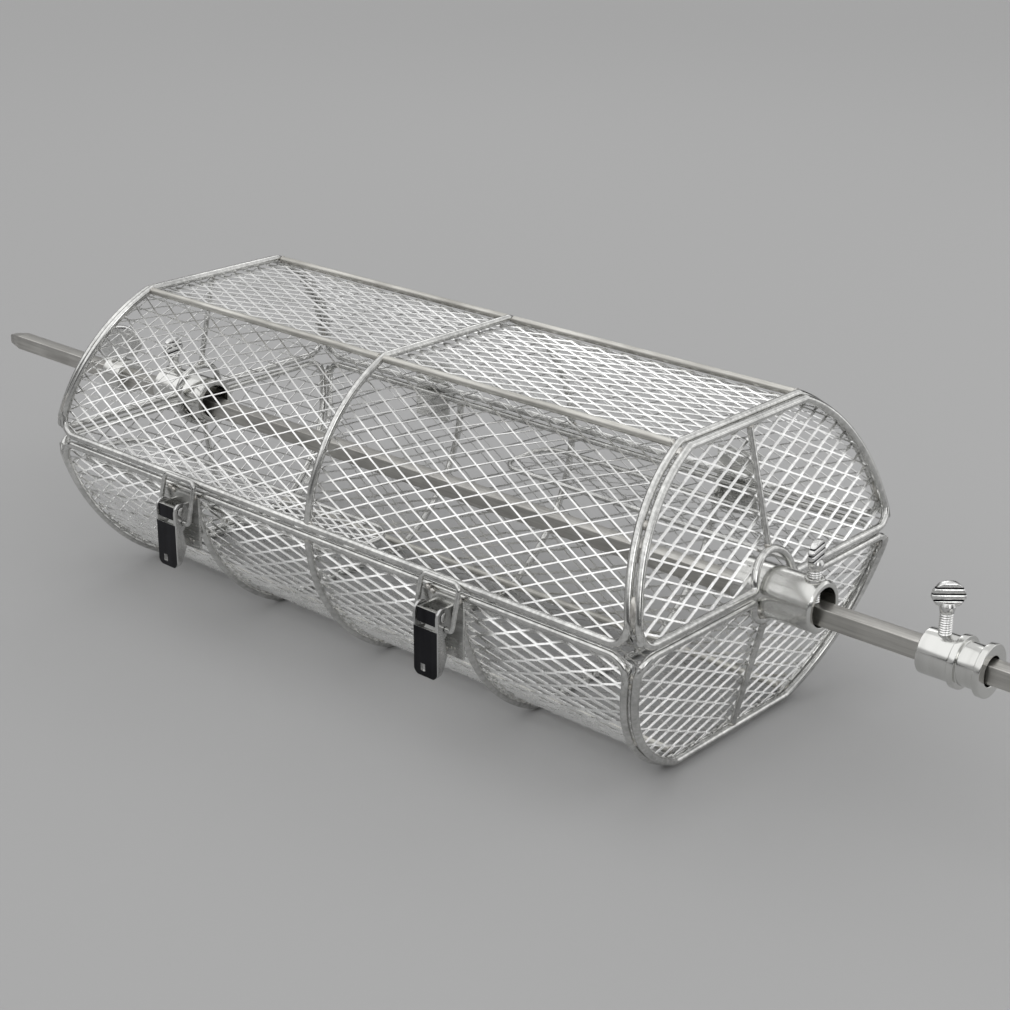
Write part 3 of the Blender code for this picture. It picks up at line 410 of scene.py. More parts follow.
def add_piece(name, shape, material, body):
    """Turns a bmesh into a piece that rides on a body."""
    mesh = bpy.data.meshes.new(name)
    shape.to_mesh(mesh)
    shape.free()
    mesh.shade_smooth()
    mesh.set_sharp_from_angle(angle=SMOOTH_ANGLE)
    mesh.materials.append(material)
    item = bpy.data.objects.new(name, mesh)
    bpy.context.scene.collection.objects.link(item)
    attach(item, body)
    return item


def stand_for(node, shape, material=None):
    """Piece that takes the place of one solid, on its body and with its finish."""
    slot = SLOTS[node]
    body = frame["nodes"][node]["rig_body"]
    item = add_piece(node + "_fine", shape, material or MATERIALS[slot], body)
    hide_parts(node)
    return item


def bridge(shape, first, second):
    count = len(first)
    for index in range(count):
        after = (index + 1) % count
        shape.faces.new((first[index], first[after], second[after], second[index]))


def loft(shape, rings, closed):
    """Skin over rings of points, with flat ends unless it closes on itself."""
    made = [[shape.verts.new(point) for point in ring] for ring in rings]
    pairs = list(zip(made, made[1:]))
    if closed:
        pairs.append((made[-1], made[0]))
    else:
        shape.faces.new(made[0])
        shape.faces.new(made[-1])
    for first, second in pairs:
        bridge(shape, first, second)


def circle(radius, sides):
    turns = [2 * math.pi * index / sides for index in range(sides)]
    return [(radius * math.cos(turn), radius * math.sin(turn)) for turn in turns]


def tube(path, wire, references, closed, sides=WIRE_SIDES):
    """Round wire along a path. References give each ring a direction to start from."""
    count = len(path)
    rings = []
    for index, point in enumerate(path):
        before = path[index - 1] if closed or index else point
        after = path[(index + 1) % count] if closed or index < count - 1 else point
        tangent = ((point - before).normalized() + (after - point).normalized()).normalized()
        reference = references[index]
        normal = (reference - tangent * reference.dot(tangent)).normalized()
        across = tangent.cross(normal)
        rings.append([point + normal * a + across * b for a, b in circle(wire / 2, sides)])
    shape = bmesh.new()
    loft(shape, rings, closed)
    bmesh.ops.recalc_face_normals(shape, faces=shape.faces)
    return shape


def corner_arc(before, corner, after, radius, steps=CORNER_STEPS):
    """Points of the arc that rounds one corner of a polyline."""
    to_before = (before - corner).normalized()
    to_after = (after - corner).normalized()
    half_angle = to_before.angle(to_after) / 2
    reach = radius / math.tan(half_angle)
    centre = corner + (to_before + to_after).normalized() * radius / math.sin(half_angle)
    start = corner + to_before * reach - centre
    end = corner + to_after * reach - centre
    turn = start.angle(end)
    axis = start.cross(end).normalized()
    spins = [Matrix.Rotation(turn * step / steps, 3, axis) for step in range(steps + 1)]
    return [centre + spin @ start for spin in spins]


def rounded(corners, steps=CORNER_STEPS):
    """Polyline through (point, radius) corners. The ends of an open one have radius 0."""
    path = []
    for index, (point, radius) in enumerate(corners):
        if radius:
            after = corners[(index + 1) % len(corners)][0]
            path.extend(corner_arc(corners[index - 1][0], point, after, radius, steps))
        else:
            path.append(point)
    return path


def turned(shape, profile, centre, axis, sides, bored):
    """Solid of revolution from (along, radius, corner radius) points, as a ring or with flat ends."""
    corners = [(Vector((along, radius, 0.0)), corner) for along, radius, corner in profile]
    rings = []
    for point in rounded(corners, EASE_STEPS):
        ring = []
        for a, b in circle(point.y, sides):
            offset = Vector((point.x, a, b)) if axis == 0 else Vector((-b, a, point.x))
            ring.append(centre + offset)
        rings.append(ring)
    loft(shape, rings, bored)


def eased_rectangle(half_a, half_b, corner):
    """Points (a, b) round a rectangle with round corners."""
    ring = []
    for index, (a, b) in enumerate(((1, 1), (-1, 1), (-1, -1), (1, -1))):
        for step in range(EASE_STEPS + 1):
            turn = math.pi / 2 * (index + step / EASE_STEPS)
            along_a = a * (half_a - corner) + corner * math.cos(turn)
            along_b = b * (half_b - corner) + corner * math.sin(turn)
            ring.append((along_a, along_b))
    return ring


# Places on the basket

def end_x(half, height, out=0.0):
    """Half length of the basket at a height over the seam, a distance out of its leaning end."""
    return SEAM_LENGTH / 2 - half.lean * height + out * math.hypot(1, half.lean)


def spot(half, x, y, height):
    """Point from a height over the lid's seam, or under the base's."""
    return Vector((x, y, AXIS_Z + half.sign * (half.seam + height)))


def side_point(half, along, level):
    """Point (y, height) of the near side at a length along its arc, at a level inside the wire centres."""
    angle = half.arc_start - along / SIDE_RADIUS
    radius = SIDE_RADIUS - level
    return half.arc_centre.x + radius * math.cos(angle), half.arc_centre.y + radius * math.sin(angle)


def side_y(half, height, level):
    return half.arc_centre.x - math.sqrt((SIDE_RADIUS - level) ** 2 - (height - half.arc_centre.y) ** 2)


def section(half, first=0.0, level=0.0):
    """Points (y, height, bend radius) over one half, from the near seam to the far one."""
    steps = [first + (half.arc_length - first) * step / ARC_STEPS for step in range(ARC_STEPS + 1)]
    near = [(*side_point(half, along, level), 0.0) for along in steps]
    near[-1] = (near[-1][0], near[-1][1], FLAT_BEND_RADIUS)
    far = [(-y, height, bend) for y, height, bend in reversed(near)]
    return near + far


def outward(half, point):
    """Direction out of the basket at a point of the skin frame."""
    height = half.sign * (point.z - AXIS_Z) - half.seam
    if abs(point.y) < FLAT_WIDTH / 2 - FRAME_R:
        return Vector((0.0, 0.0, half.sign))
    side = 1 if point.y > 0 else -1
    across = Vector((abs(point.y) + half.arc_centre.x, height - half.arc_centre.y)).normalized()
    return Vector((0.0, side * across.x, half.sign * across.y))


# Wires

def skin_frame(node, half):
    corners = []
    for side in (1, -1):
        points = section(half)[::side]
        for index, (y, height, bend) in enumerate(points):
            at_seam = index in (0, len(points) - 1)
            radius = CORNER_RADIUS if at_seam else bend
            corners.append((spot(half, side * end_x(half, height), y, height), radius))
    path = rounded(corners)
    stand_for(node, tube(path, FRAME_WIRE, [outward(half, point) for point in path], True))


def arch_points(half):
    """Points (y, height) of the arch round the hub, from the far foot to the near one."""
    centre = arch_centre(half)
    foot = math.asin(-centre / ARCH_RADIUS)
    turns = [foot + (math.pi - 2 * foot) * step / ARCH_STEPS for step in range(ARCH_STEPS + 1)]
    return [(ARCH_RADIUS * math.cos(turn), centre + ARCH_RADIUS * math.sin(turn)) for turn in turns]


def arch_centre(half):
    """The base's arch hugs the hub. The lid's is centred on the lid's seam."""
    return 0.0 if half is LID else -half.seam


def end_frame(node, half, side):
    def at(y, height):
        return spot(half, side * end_x(half, height, END_FRAME_OUT), y, height)

    corners = []
    outline = section(half, level=END_INSET)
    for index, (y, height, bend) in enumerate(outline):
        at_seam = index in (0, len(outline) - 1)
        corners.append((at(y, height), CORNER_RADIUS if at_seam else bend))
    arch = arch_points(half)
    for index, (y, height) in enumerate(arch):
        at_foot = index in (0, ARCH_STEPS)
        if index in (1, ARCH_STEPS - 1):
            continue
        corners.append((at(y, height), ARCH_FOOT_RADIUS if at_foot else 0.0))
    path = rounded(corners)
    stand_for(node, tube(path, FRAME_WIRE, [X_AXIS] * len(path), True))


def hoop(node, half, x):
    corners = [(spot(half, x, y, height), bend) for y, height, bend in section(half, FRAME_R)]
    path = rounded(corners)
    stand_for(node, tube(path, FRAME_WIRE, [X_AXIS] * len(path), False))


def lid_rod_place():
    """Point (y, height) of the near rod, level with the hoop and the frame."""
    return side_point(LID, LID.arc_length - ROD_R, 0.0)


def lid_rod_reach():
    return end_x(LID, lid_rod_place()[1] + ROD_R, -FRAME_R)


def lid_rod(node, side, end):
    y, height = lid_rod_place()
    path = [spot(LID, end * x, -side * y, height) for x in (FRAME_R, lid_rod_reach())]
    stand_for(node, tube(path, FRAME_WIRE, [Z_AXIS] * 2, False), SATIN_WIRE)


def base_rod_place():
    """Point (y, height) of the near rod, in the bend of the sheets."""
    height = BASE.height - INNER_ROD_LEVEL
    return side_y(BASE, height, INNER_ROD_LEVEL), height


def base_rod(node, side):
    y, height = base_rod_place()
    reach = end_x(BASE, height + ROD_R)
    path = [spot(BASE, x, -side * y, height) for x in (-reach, reach)]
    stand_for(node, tube(path, FRAME_WIRE, [Z_AXIS] * 2, False), SATIN_WIRE)


def spoke_ends(half):
    """Heights where the spoke meets the arch and the edge of the flat."""
    top = max(height for _, height in arch_points(half))
    return top + FRAME_R, half.height - END_INSET - FRAME_R


def spoke(node, half, side):
    path = [spot(half, side * end_x(half, height, SPOKE_OUT), 0.0, height) for height in spoke_ends(half)]
    stand_for(node, tube(path, SPOKE_WIRE, [X_AXIS] * 2, False))


# Expanded metal

def diamond(column, row, weave):
    """Corners of one gap, right, top, left and bottom, with the rise that tilts the strands."""
    half_u = NET_LONG_PITCH / 2
    half_v = NET_SHORT_PITCH / 2
    inset = 1 - weave.strand / 2 * math.hypot(half_u, half_v) / (half_u * half_v)
    u = column * half_u
    v = row * half_v
    return (
        Vector((u + half_u * inset, v, 0.0)),
        Vector((u, v + half_v * inset, -weave.rise)),
        Vector((u - half_u * inset, v, 0.0)),
        Vector((u, v - half_v * inset, weave.rise)),
    )


def lattice(low, high, weave):
    """Faces of raised expanded metal over a rectangle, as lists of (u, v, w) points."""
    half_sheet = Vector((0.0, 0.0, NET_THICKNESS / 2))
    faces = []
    columns = range(math.floor(2 * low.x / NET_LONG_PITCH) - 2, math.ceil(2 * high.x / NET_LONG_PITCH) + 1)
    rows = range(math.floor(2 * low.y / NET_SHORT_PITCH) - 1, math.ceil(2 * high.y / NET_SHORT_PITCH) + 2)
    for column in columns:
        for row in rows:
            if (column + row) % 2:
                continue
            gap = diamond(column, row, weave)
            above = diamond(column + 1, row + 1, weave)
            below = diamond(column + 1, row - 1, weave)
            beyond = diamond(column + 2, row, weave)
            knuckle = (gap[RIGHT], below[TOP], beyond[LEFT], above[BOTTOM])
            rising = (gap[RIGHT], above[BOTTOM], above[LEFT], gap[TOP])
            falling = (gap[BOTTOM], below[LEFT], below[TOP], gap[RIGHT])
            for face in (knuckle, rising, falling):
                faces.append([point + half_sheet for point in face])
                faces.append([point - half_sheet for point in reversed(face)])
            for first, second in zip(gap, gap[1:] + gap[:1]):
                walls = (first + half_sheet, second + half_sheet, second - half_sheet, first - half_sheet)
                faces.append(list(walls))
    return faces


def trimmed(face, limit):
    """Part of a face where a limit of (u, v) is above zero."""
    kept = []
    values = [limit(point.x, point.y) for point in face]
    for index, point in enumerate(face):
        before = face[index - 1]
        value = values[index]
        last = values[index - 1]
        if (value > 0) != (last > 0):
            kept.append(before.lerp(point, last / (last - value)))
        if value > 0:
            kept.append(point)
    return kept


def net(node, low, high, weave, limits, to_space):
    """Raised expanded metal inside the limits, set in space by to_space(u, v, w)."""
    middle = (low + high) / 2
    start = to_space(middle.x, middle.y, 0.0)
    along_u = to_space(middle.x + PROBE, middle.y, 0.0) - start
    along_v = to_space(middle.x, middle.y + PROBE, 0.0) - start
    along_w = to_space(middle.x, middle.y, PROBE) - start
    mirrored = along_u.cross(along_v).dot(along_w) < 0
    shape = bmesh.new()
    for face in lattice(low, high, weave):
        for limit in limits:
            face = trimmed(face, limit)
            if len(face) < 3:
                break
        if len(face) < 3:
            continue
        if mirrored:
            face.reverse()
        shape.faces.new([shape.verts.new(to_space(point.x, point.y, point.z)) for point in face])
    bmesh.ops.remove_doubles(shape, verts=shape.verts, dist=NET_MERGE)
    slits = [edge for edge in shape.edges if edge.is_boundary]
    bmesh.ops.holes_fill(shape, edges=slits, sides=SLIT_SIDES)
    stand_for(node, shape)


def net_bend(half):
    """Where the near side's sheet meets the flat one: y, and the length along the arc."""
    height = half.height - NET_LEVEL
    y = side_y(half, height, NET_LEVEL)
    turn = math.atan2(height - half.arc_centre.y, y - half.arc_centre.x)
    return y, (half.arc_start - turn) * SIDE_RADIUS


def side_net(node, half, side, rise):
    top = net_bend(half)[1]

    def edge(along):
        return end_x(half, side_point(half, along, NET_LEVEL)[1])

    def to_space(u, v, w):
        y, height = side_point(half, v, NET_LEVEL - w)
        return spot(half, u, -side * y, height)

    limits = (
        lambda u, v: v,
        lambda u, v: top - v,
        lambda u, v: edge(v) - abs(u),
        lambda u, v: edge(0.0) - abs(u) + v - NET_CORNER_CUT,
    )
    weave = Weave(SIDE_STRAND, rise)
    net(node, Vector((-edge(0.0), 0.0)), Vector((edge(0.0), top)), weave, limits, to_space)


def flat_net(node, half):
    width = -net_bend(half)[0]
    reach = end_x(half, half.height - NET_LEVEL)

    def to_space(u, v, w):
        return spot(half, u, v, half.height - NET_LEVEL + w)

    limits = (lambda u, v: width - abs(v), lambda u, v: reach - abs(u))
    weave = Weave(FLAT_STRAND, FLAT_RISE)
    net(node, Vector((-reach, -width)), Vector((reach, width)), weave, limits, to_space)


def end_net(node, half, side):
    level = FRAME_R
    centre = half.arc_centre
    hub_height = arch_centre(half)
    low_y = -side_y(half, 0.0, level) - NET_CORNER_CUT

    def to_space(u, v, w):
        return spot(half, side * end_x(half, v, END_NET_OUT + w), u, v)

    limits = (
        lambda u, v: v,
        lambda u, v: half.height - level - v,
        lambda u, v: SIDE_RADIUS - level - math.hypot(-abs(u) - centre.x, v - centre.y),
        lambda u, v: math.hypot(u, v - hub_height) - ARCH_RADIUS,
        lambda u, v: low_y - abs(u) + v,
    )
    weave = Weave(END_STRAND, half.sign * END_RISE)
    net(node, Vector((-SEAM_WIDTH / 2, 0.0)), Vector((SEAM_WIDTH / 2, half.height)), weave, limits, to_space)


# Paddles

def paddle_corners(inset):
    """Lowest and highest corner (x, y) of the left paddle, at an inset from its wire's centre."""
    height = PADDLE_DROP - BASE_SEAM_DROP
    wall = side_y(BASE, height, FRAME_R + GAP + CAD_NET_THICKNESS) + GAP + PADDLE_WIRE / 2
    start = -end_x(BASE, height) + PADDLE_WIRE + GAP
    low = Vector((start + inset, wall + inset))
    high = Vector((start + PADDLE_LENGTH - inset, wall + PADDLE_WIDTH - inset))
    return low, high


def paddle(side_name, turn):
    level = AXIS_Z - PADDLE_DROP
    low, high = paddle_corners(0.0)
    corners = [(low.x, low.y), (high.x, low.y), (high.x, high.y), (low.x, high.y)]
    corners = [(Vector((x * turn, y * turn, level)), PADDLE_CORNER_RADIUS) for x, y in corners]
    path = rounded(corners)
    stand_for(side_name + "_paddle_frame", tube(path, PADDLE_WIRE, [Z_AXIS] * len(path), True))
    inner_low, inner_high = paddle_corners(PADDLE_WIRE / 2)
    middle = (inner_low + inner_high) / 2
    half = (inner_high - inner_low) / 2
    bend = PADDLE_CORNER_RADIUS

    def to_space(u, v, w):
        return Vector(((middle.x + u) * turn, (middle.y + v) * turn, level + w))

    def inside(u, v):
        over = Vector((max(abs(u) - half.x + bend, 0.0), max(abs(v) - half.y + bend, 0.0)))
        return bend - over.length

    limits = (lambda u, v: half.x - abs(u), lambda u, v: half.y - abs(v), inside)
    net(side_name + "_paddle_net", -half, half, Weave(PADDLE_STRAND, PADDLE_RISE), limits, to_space)


def basket_half(prefix, half, side_rise):
    skin_frame(prefix + "_frame", half)
    hoop(prefix + "_mid_hoop", half, 0.0)
    for side_name, side in (("front", -1), ("back", 1)):
        side_net(f"{prefix}_{side_name}_net", half, side, side_rise)
    flat_net(prefix + "_flat_net", half)
    for side_name, side in (("left", -1), ("right", 1)):
        end_frame(f"{prefix}_{side_name}_end_frame", half, side)
        spoke(f"{prefix}_{side_name}_spoke", half, side)
        end_net(f"{prefix}_{side_name}_end_net", half, side)


def edge_rods():
    for edge_name, edge in (("front", -1), ("back", 1)):
        base_rod(f"base_{edge_name}_rod", edge)
        lid_rod(f"lid_{edge_name}_left_rod", edge, -1)
        lid_rod(f"lid_{edge_name}_right_rod", edge, 1)


# Welds

def weld(shape, point, size, turn=Matrix.Identity(3), detail=BEAD_DETAIL):
    """Lumpy bead at a point. size gives its half lengths along the axes of turn."""
    place = Matrix.Translation(point) @ turn.to_4x4() @ Matrix.Diagonal((*size, 1.0))
    made = bmesh.ops.create_icosphere(shape, subdivisions=detail, radius=1.0, matrix=place)
    for vertex in made["verts"]:
        away = (vertex.co - point).normalized()
        vertex.co += away * noise.noise(vertex.co * WELD_GRAIN) * WELD_LUMPS


def pair_weld(shape, half, end, side, along, size, detail=BEAD_DETAIL):
    """Bead between the two wires of an end's edge, lengthwise to them."""
    def middle(reach):
        y, height = side_point(half, reach, END_INSET / 2)
        return spot(half, end * end_x(half, height, END_FRAME_OUT / 2), -side * y, height)

    rise = (middle(along + FRAME_R) - middle(along - FRAME_R)).normalized()
    across = (X_AXIS - rise * rise.x).normalized()
    turn = Matrix((across, rise.cross(across), rise)).transposed()
    weld(shape, middle(along), size, turn, detail)


def end_welds(shape, half, end):
    """Beads on one end: between its two edge wires, and where the spoke meets its wires."""
    for side in (-1, 1):
        for share in PAIR_BEADS_SHARE:
            pair_weld(shape, half, end, side, half.arc_length * share, PAIR_BEAD)
        if half is LID:
            pair_weld(shape, half, end, side, FOOT_BEAD_ALONG, FOOT_BEAD, FOOT_BEAD_DETAIL)
        else:
            for along in DOT_BEADS_ALONG:
                pair_weld(shape, half, end, side, along, DOT_BEAD)
    for height in spoke_ends(half):
        weld(shape, spot(half, end * end_x(half, height, SPOKE_OUT), 0.0, height), SPOKE_BEAD)


def hoop_welds(shape, half, x):
    """Beads where a hoop stands on the seams."""
    for side in (-1, 1):
        y, height = side_point(half, FRAME_R, 0.0)
        weld(shape, spot(half, x, -side * y, height), SEAM_BEAD)


def lid_welds():
    shape = bmesh.new()
    hoop_welds(shape, LID, 0.0)
    y, height = lid_rod_place()
    for end in (-1, 1):
        end_welds(shape, LID, end)
        for side in (-1, 1):
            weld(shape, spot(LID, end * FRAME_R, -side * y, height), ROD_BEAD)
            weld(shape, spot(LID, end * lid_rod_reach(), -side * y, height), ROD_END_BEAD)
    add_piece("lid_welds", shape, WELD_STEEL, "lid")


def base_welds():
    shape = bmesh.new()
    hoop_welds(shape, BASE, 0.0)
    y, height = base_rod_place()
    plate_top = AXIS_Z - BASE_SEAM_DROP - PLATE_DROP
    for end in (-1, 1):
        hoop_welds(shape, BASE, end * LATCH_X + LATCH_HOOP_SHIFT)
        end_welds(shape, BASE, end)
        for side in (-1, 1):
            weld(shape, spot(BASE, end * end_x(BASE, height + ROD_R), -side * y, height), ROD_END_BEAD)
        for x, z in PLATE_BEADS:
            weld(shape, Vector((end * LATCH_X + x, PLATE_FRONT_Y, plate_top + z)), PLATE_BEAD)
        for x, z in PLATE_DOTS:
            weld(shape, Vector((end * LATCH_X + x, PLATE_FRONT_Y, plate_top + z)), PLATE_DOT)
    add_piece("base_welds", shape, WELD_STEEL, "base")


def hub_welds():
    """Beads between the base's arches and the hubs."""
    shape = bmesh.new()
    arch = arch_points(BASE)
    low = arch_centre(BASE)
    share = (HUB_RADIUS + GAP) / ARCH_RADIUS
    for end in (-1, 1):
        for y, height in arch[FIRST_HUB_BEAD::HUB_BEAD_STEP]:
            x = end * (end_x(BASE, height, END_FRAME_OUT) + HUB_BEAD[0] / 2)
            weld(shape, spot(BASE, x, y * share, low + (height - low) * share), HUB_BEAD)
    add_piece("hub_welds", shape, WELD_STEEL, "base")


# Hubs, spit, collars and bush

def hub(side_name, side):
    shape = bmesh.new()
    centre = Vector((0.0, 0.0, AXIS_Z))
    profile = [
        (side * HUB_INNER_X, HUB_BORE_RADIUS, EDGE_RADIUS),
        (side * HUB_INNER_X, HUB_RADIUS, EDGE_RADIUS),
        (side * (HUB_OUTER_X - HUB_CHAMFER), HUB_RADIUS, EDGE_RADIUS),
        (side * HUB_OUTER_X, HUB_RADIUS - HUB_CHAMFER, EDGE_RADIUS / 2),
        (side * HUB_OUTER_X, HUB_BORE_RADIUS, EDGE_RADIUS),
    ]
    turned(shape, profile, centre, 0, ROUND_SIDES, True)
    boss(shape, Vector((side * HUB_SCREW_X, 0.0, AXIS_Z)))
    bmesh.ops.recalc_face_normals(shape, faces=shape.faces)
    stand_for(side_name + "_hub", shape)


def boss(shape, centre):
    """Low ring round the screw's hole, on top of the hub."""
    top = HUB_RADIUS + BOSS_HEIGHT
    hole = SCREW_RADIUS + GAP
    low = HUB_RADIUS - BOSS_ROOT
    profile = [
        (low, hole, 0.0),
        (low, BOSS_RADIUS, 0.0),
        (top, BOSS_RADIUS, EDGE_RADIUS),
        (top, hole, EDGE_RADIUS / 2),
    ]
    turned(shape, profile, centre, 2, PIN_SIDES, True)


def square_ring(x, size, corner):
    """Eased square round the spit at one place along it."""
    return [Vector((x, y, SPIT_Z + z)) for y, z in eased_rectangle(size / 2, size / 2, corner)]


def spit():
    """Square bar with eased edges and a short taper at its left end."""
    taper_end = SPIT_LEFT_X + SPIT_POINT_LENGTH
    stations = [
        (SPIT_LEFT_X, SPIT_POINT_SIZE - 2 * SPIT_EDGE),
        (SPIT_LEFT_X + SPIT_EDGE, SPIT_POINT_SIZE),
        (taper_end, SPIT_SIZE),
        (taper_end + SPIT_EDGE, SPIT_SIZE),
        (SPIT_RIGHT_X - SPIT_EDGE, SPIT_SIZE),
        (SPIT_RIGHT_X, SPIT_SIZE - 2 * SPIT_EDGE),
    ]
    shape = bmesh.new()
    loft(shape, [square_ring(x, size, SPIT_EDGE) for x, size in stations], False)
    bmesh.ops.recalc_face_normals(shape, faces=shape.faces)
    stand_for("spit_rod", shape)


def collar(node, x):
    shape = bmesh.new()
    half = COLLAR_LENGTH / 2
    bore = SPIT_SIZE / 2
    profile = [
        (x - half, bore, 0.0),
        (x - half, COLLAR_RADIUS, COLLAR_EDGE),
        (x + half, COLLAR_RADIUS, COLLAR_EDGE),
        (x + half, bore, 0.0),
    ]
    turned(shape, profile, Vector((0.0, 0.0, SPIT_Z)), 0, ROUND_SIDES, True)
    bmesh.ops.recalc_face_normals(shape, faces=shape.faces)
    stand_for(node, shape)


def bush():
    low = RIGHT_COLLAR_X + COLLAR_LENGTH / 2 + GAP
    high = low + BUSH_LENGTH
    profile = [
        (low, BUSH_BORE_RADIUS, EDGE_RADIUS),
        (low, BUSH_RADIUS, EDGE_RADIUS),
        (low + BUSH_RIM, BUSH_RADIUS, EDGE_RADIUS),
        (low + BUSH_RIM, BUSH_GROOVE_RADIUS, EDGE_RADIUS),
        (high - BUSH_RIM, BUSH_GROOVE_RADIUS, EDGE_RADIUS),
        (high - BUSH_RIM, BUSH_RADIUS, EDGE_RADIUS),
        (high, BUSH_RADIUS, EDGE_RADIUS),
        (high, BUSH_BORE_RADIUS, EDGE_RADIUS),
    ]
    shape = bmesh.new()
    turned(shape, profile, Vector((0.0, 0.0, SPIT_Z)), 0, ROUND_SIDES, True)
    bmesh.ops.recalc_face_normals(shape, faces=shape.faces)
    stand_for("spit_bush", shape)


# Thumb screws

def thread(shape, low, high, centre):
    """Upright shank with a helical thread."""
    rows = math.ceil((high - low) / THREAD_PITCH * THREAD_ROWS)
    rings = []
    for row in range(rows + 1):
        z = low + (high - low) * row / rows
        ring = []
        for index in range(THREAD_SIDES):
            turn = 2 * math.pi * index / THREAD_SIDES
            phase = (z / THREAD_PITCH - index / THREAD_SIDES) % 1.0
            radius = SCREW_RADIUS - THREAD_DEPTH * abs(2 * phase - 1)
            ring.append(centre + Vector((radius * math.cos(turn), radius * math.sin(turn), z)))
        rings.append(ring)
    loft(shape, rings, False)


def blade_ring(half_width, half_depth, z):
    """Eased rectangle round the blade at one height."""
    corner = min(BLADE_EDGE, half_width * BLADE_EDGE_SHARE, half_depth * BLADE_EDGE_SHARE)
    return [Vector((x, y, z)) for x, y in eased_rectangle(half_width, half_depth, corner)]


def rib(share):
    """Height of the ribs at a share of the blade's height, from 0 in a groove to 1 on a crest."""
    return math.sqrt(abs(math.sin(math.pi * BLADE_RIBS * share)))


def blade(shape, low, scale, turn, centre, ribbed):
    """Flat thumb piece with a round top, plain or with ribs across both faces."""
    half = BLADE_WIDTH * scale / 2
    shoulder = low + BLADE_HEIGHT * scale - half
    top = shoulder + half
    below_crown = shoulder + half * CROWN_START - low
    heights = [low + below_crown * row / BLADE_ROWS for row in range(BLADE_ROWS + 1)]
    heights += [shoulder + half * math.sin(math.radians(angle)) for angle in CROWN_ANGLES]
    spin = Matrix.Rotation(turn, 3, "Z")
    rings = []
    for z in heights:
        if z > shoulder:
            width = half * math.sqrt(max(1 - ((z - shoulder) / half) ** 2, CROWN_LEAST))
        else:
            # The foot is two thirds as wide as the shoulder.
            width = half * (2 + (z - low) / (shoulder - low)) / 3
        depth = BLADE_THICKNESS / 2
        if ribbed:
            depth -= GROOVE_DEPTH * (1 - rib((z - low) / (top - low)))
        depth = min(depth, CROWN_DEPTH + CROWN_SLOPE * math.sqrt(max(top - z, 0.0) * half))
        depth = min(depth, BLADE_FOOT_DEPTH + BLADE_FOOT_SLOPE * (z - low))
        rings.append([centre + spin @ point for point in blade_ring(width, depth, z)])
    loft(shape, rings, False)


# Painted shade: the faces in and near each groove between the blade's ribs get the near-black material.
def paint_groove_shade(item, low, height):
    item.data.materials.append(PAINTED_SHADE_AND_REFLECTION)
    for face in item.data.polygons:
        share = (face.center.z - low) / height
        if FIRST_GROOVE < share < LAST_GROOVE and rib(share) < GROOVE_SHADE_SHARE:
            face.material_index = 1


def thumb_screw(node, centre, tip, seat, stand, scale, turn):
    ribbed = scale == SMALL_BLADE_SCALE
    shape = bmesh.new()
    low = seat + stand
    neck = max(seat + stand / 2, low - SCREW_NECK_LENGTH)
    thread(shape, tip, neck + GAP, centre)
    profile = [
        (neck, SCREW_RADIUS - THREAD_DEPTH, 0.0),
        (neck + GAP, SCREW_RADIUS, 0.0),
        (low, SCREW_NECK_RADIUS, NECK_EDGE),
        (low + BLADE_THICKNESS / 2, SCREW_NECK_RADIUS * NECK_TOP_SHARE, NECK_TOP_EDGE),
        (low + BLADE_THICKNESS / 2 + GAP, SCREW_NECK_RADIUS * NECK_TIP_SHARE, 0.0),
    ]
    turned(shape, profile, centre, 2, PIN_SIDES, False)
    blade(shape, low, scale, turn, centre, ribbed)
    bmesh.ops.recalc_face_normals(shape, faces=shape.faces)
    item = stand_for(node, shape)
    # Ribbed blades get painted shade in their grooves.
    if ribbed:
        paint_groove_shade(item, centre.z + low, BLADE_HEIGHT)


def screws():
    hub_tip = SPIT_Z + SPIT_SIZE / 2 + GAP - AXIS_Z
    hub_seat = HUB_RADIUS + BOSS_HEIGHT
    for side_name, side in (("left", -1), ("right", 1)):
        centre = Vector((side * HUB_SCREW_X, 0.0, AXIS_Z))
        node = side_name + "_hub_screw"
        scale = SMALL_BLADE_SCALE
        thumb_screw(node, centre, hub_tip, hub_seat, HUB_SCREW_STAND, scale, HUB_BLADE_TURN)
    tip = SPIT_SIZE / 2 + GAP
    for node, x, stand, scale in (
        ("left_collar_screw", LEFT_COLLAR_X, LEFT_SCREW_STAND, BIG_BLADE_SCALE),
        ("right_collar_screw", RIGHT_COLLAR_X, RIGHT_SCREW_STAND, SMALL_BLADE_SCALE),
    ):
        thumb_screw(node, Vector((x, 0.0, SPIT_Z)), tip, COLLAR_RADIUS, stand, scale, COLLAR_BLADE_TURN)


# Latches and hinges

def solid_copy(node):
    """Copy of a solid's mesh with each flat face in one piece."""
    shape = bmesh.new()
    shape.from_mesh(frame["nodes"][node].data)
    bmesh.ops.remove_doubles(shape, verts=shape.verts, dist=SOLID_MERGE)
    bmesh.ops.dissolve_limit(shape, angle_limit=FLAT_ANGLE, verts=shape.verts, edges=shape.edges)
    return shape


def ease(shape, edges, width, steps):
    bmesh.ops.bevel(
        shape, geom=edges, offset=width, offset_type="OFFSET", segments=steps, profile=0.5,
        affect="EDGES", clamp_overlap=True,
    )


def softened(node, shape, split_z=None):
    """Piece for a pressed or cut solid, with its sharp edges eased and its faces split at a height."""
    sharp = [edge for edge in shape.edges if edge.is_manifold and edge.calc_face_angle() > SMOOTH_ANGLE]
    ease(shape, sharp, SHEET_EDGE, SHEET_EDGE_STEPS)
    if split_z:
        everything = shape.verts[:] + shape.edges[:] + shape.faces[:]
        level = (0.0, 0.0, split_z)
        bmesh.ops.bisect_plane(shape, geom=everything, dist=CUT_MERGE, plane_co=level, plane_no=Z_AXIS)
    item = stand_for(node, shape)
    even = item.modifiers.new("even_normals", "WEIGHTED_NORMAL")
    even.keep_sharp = True
    return item


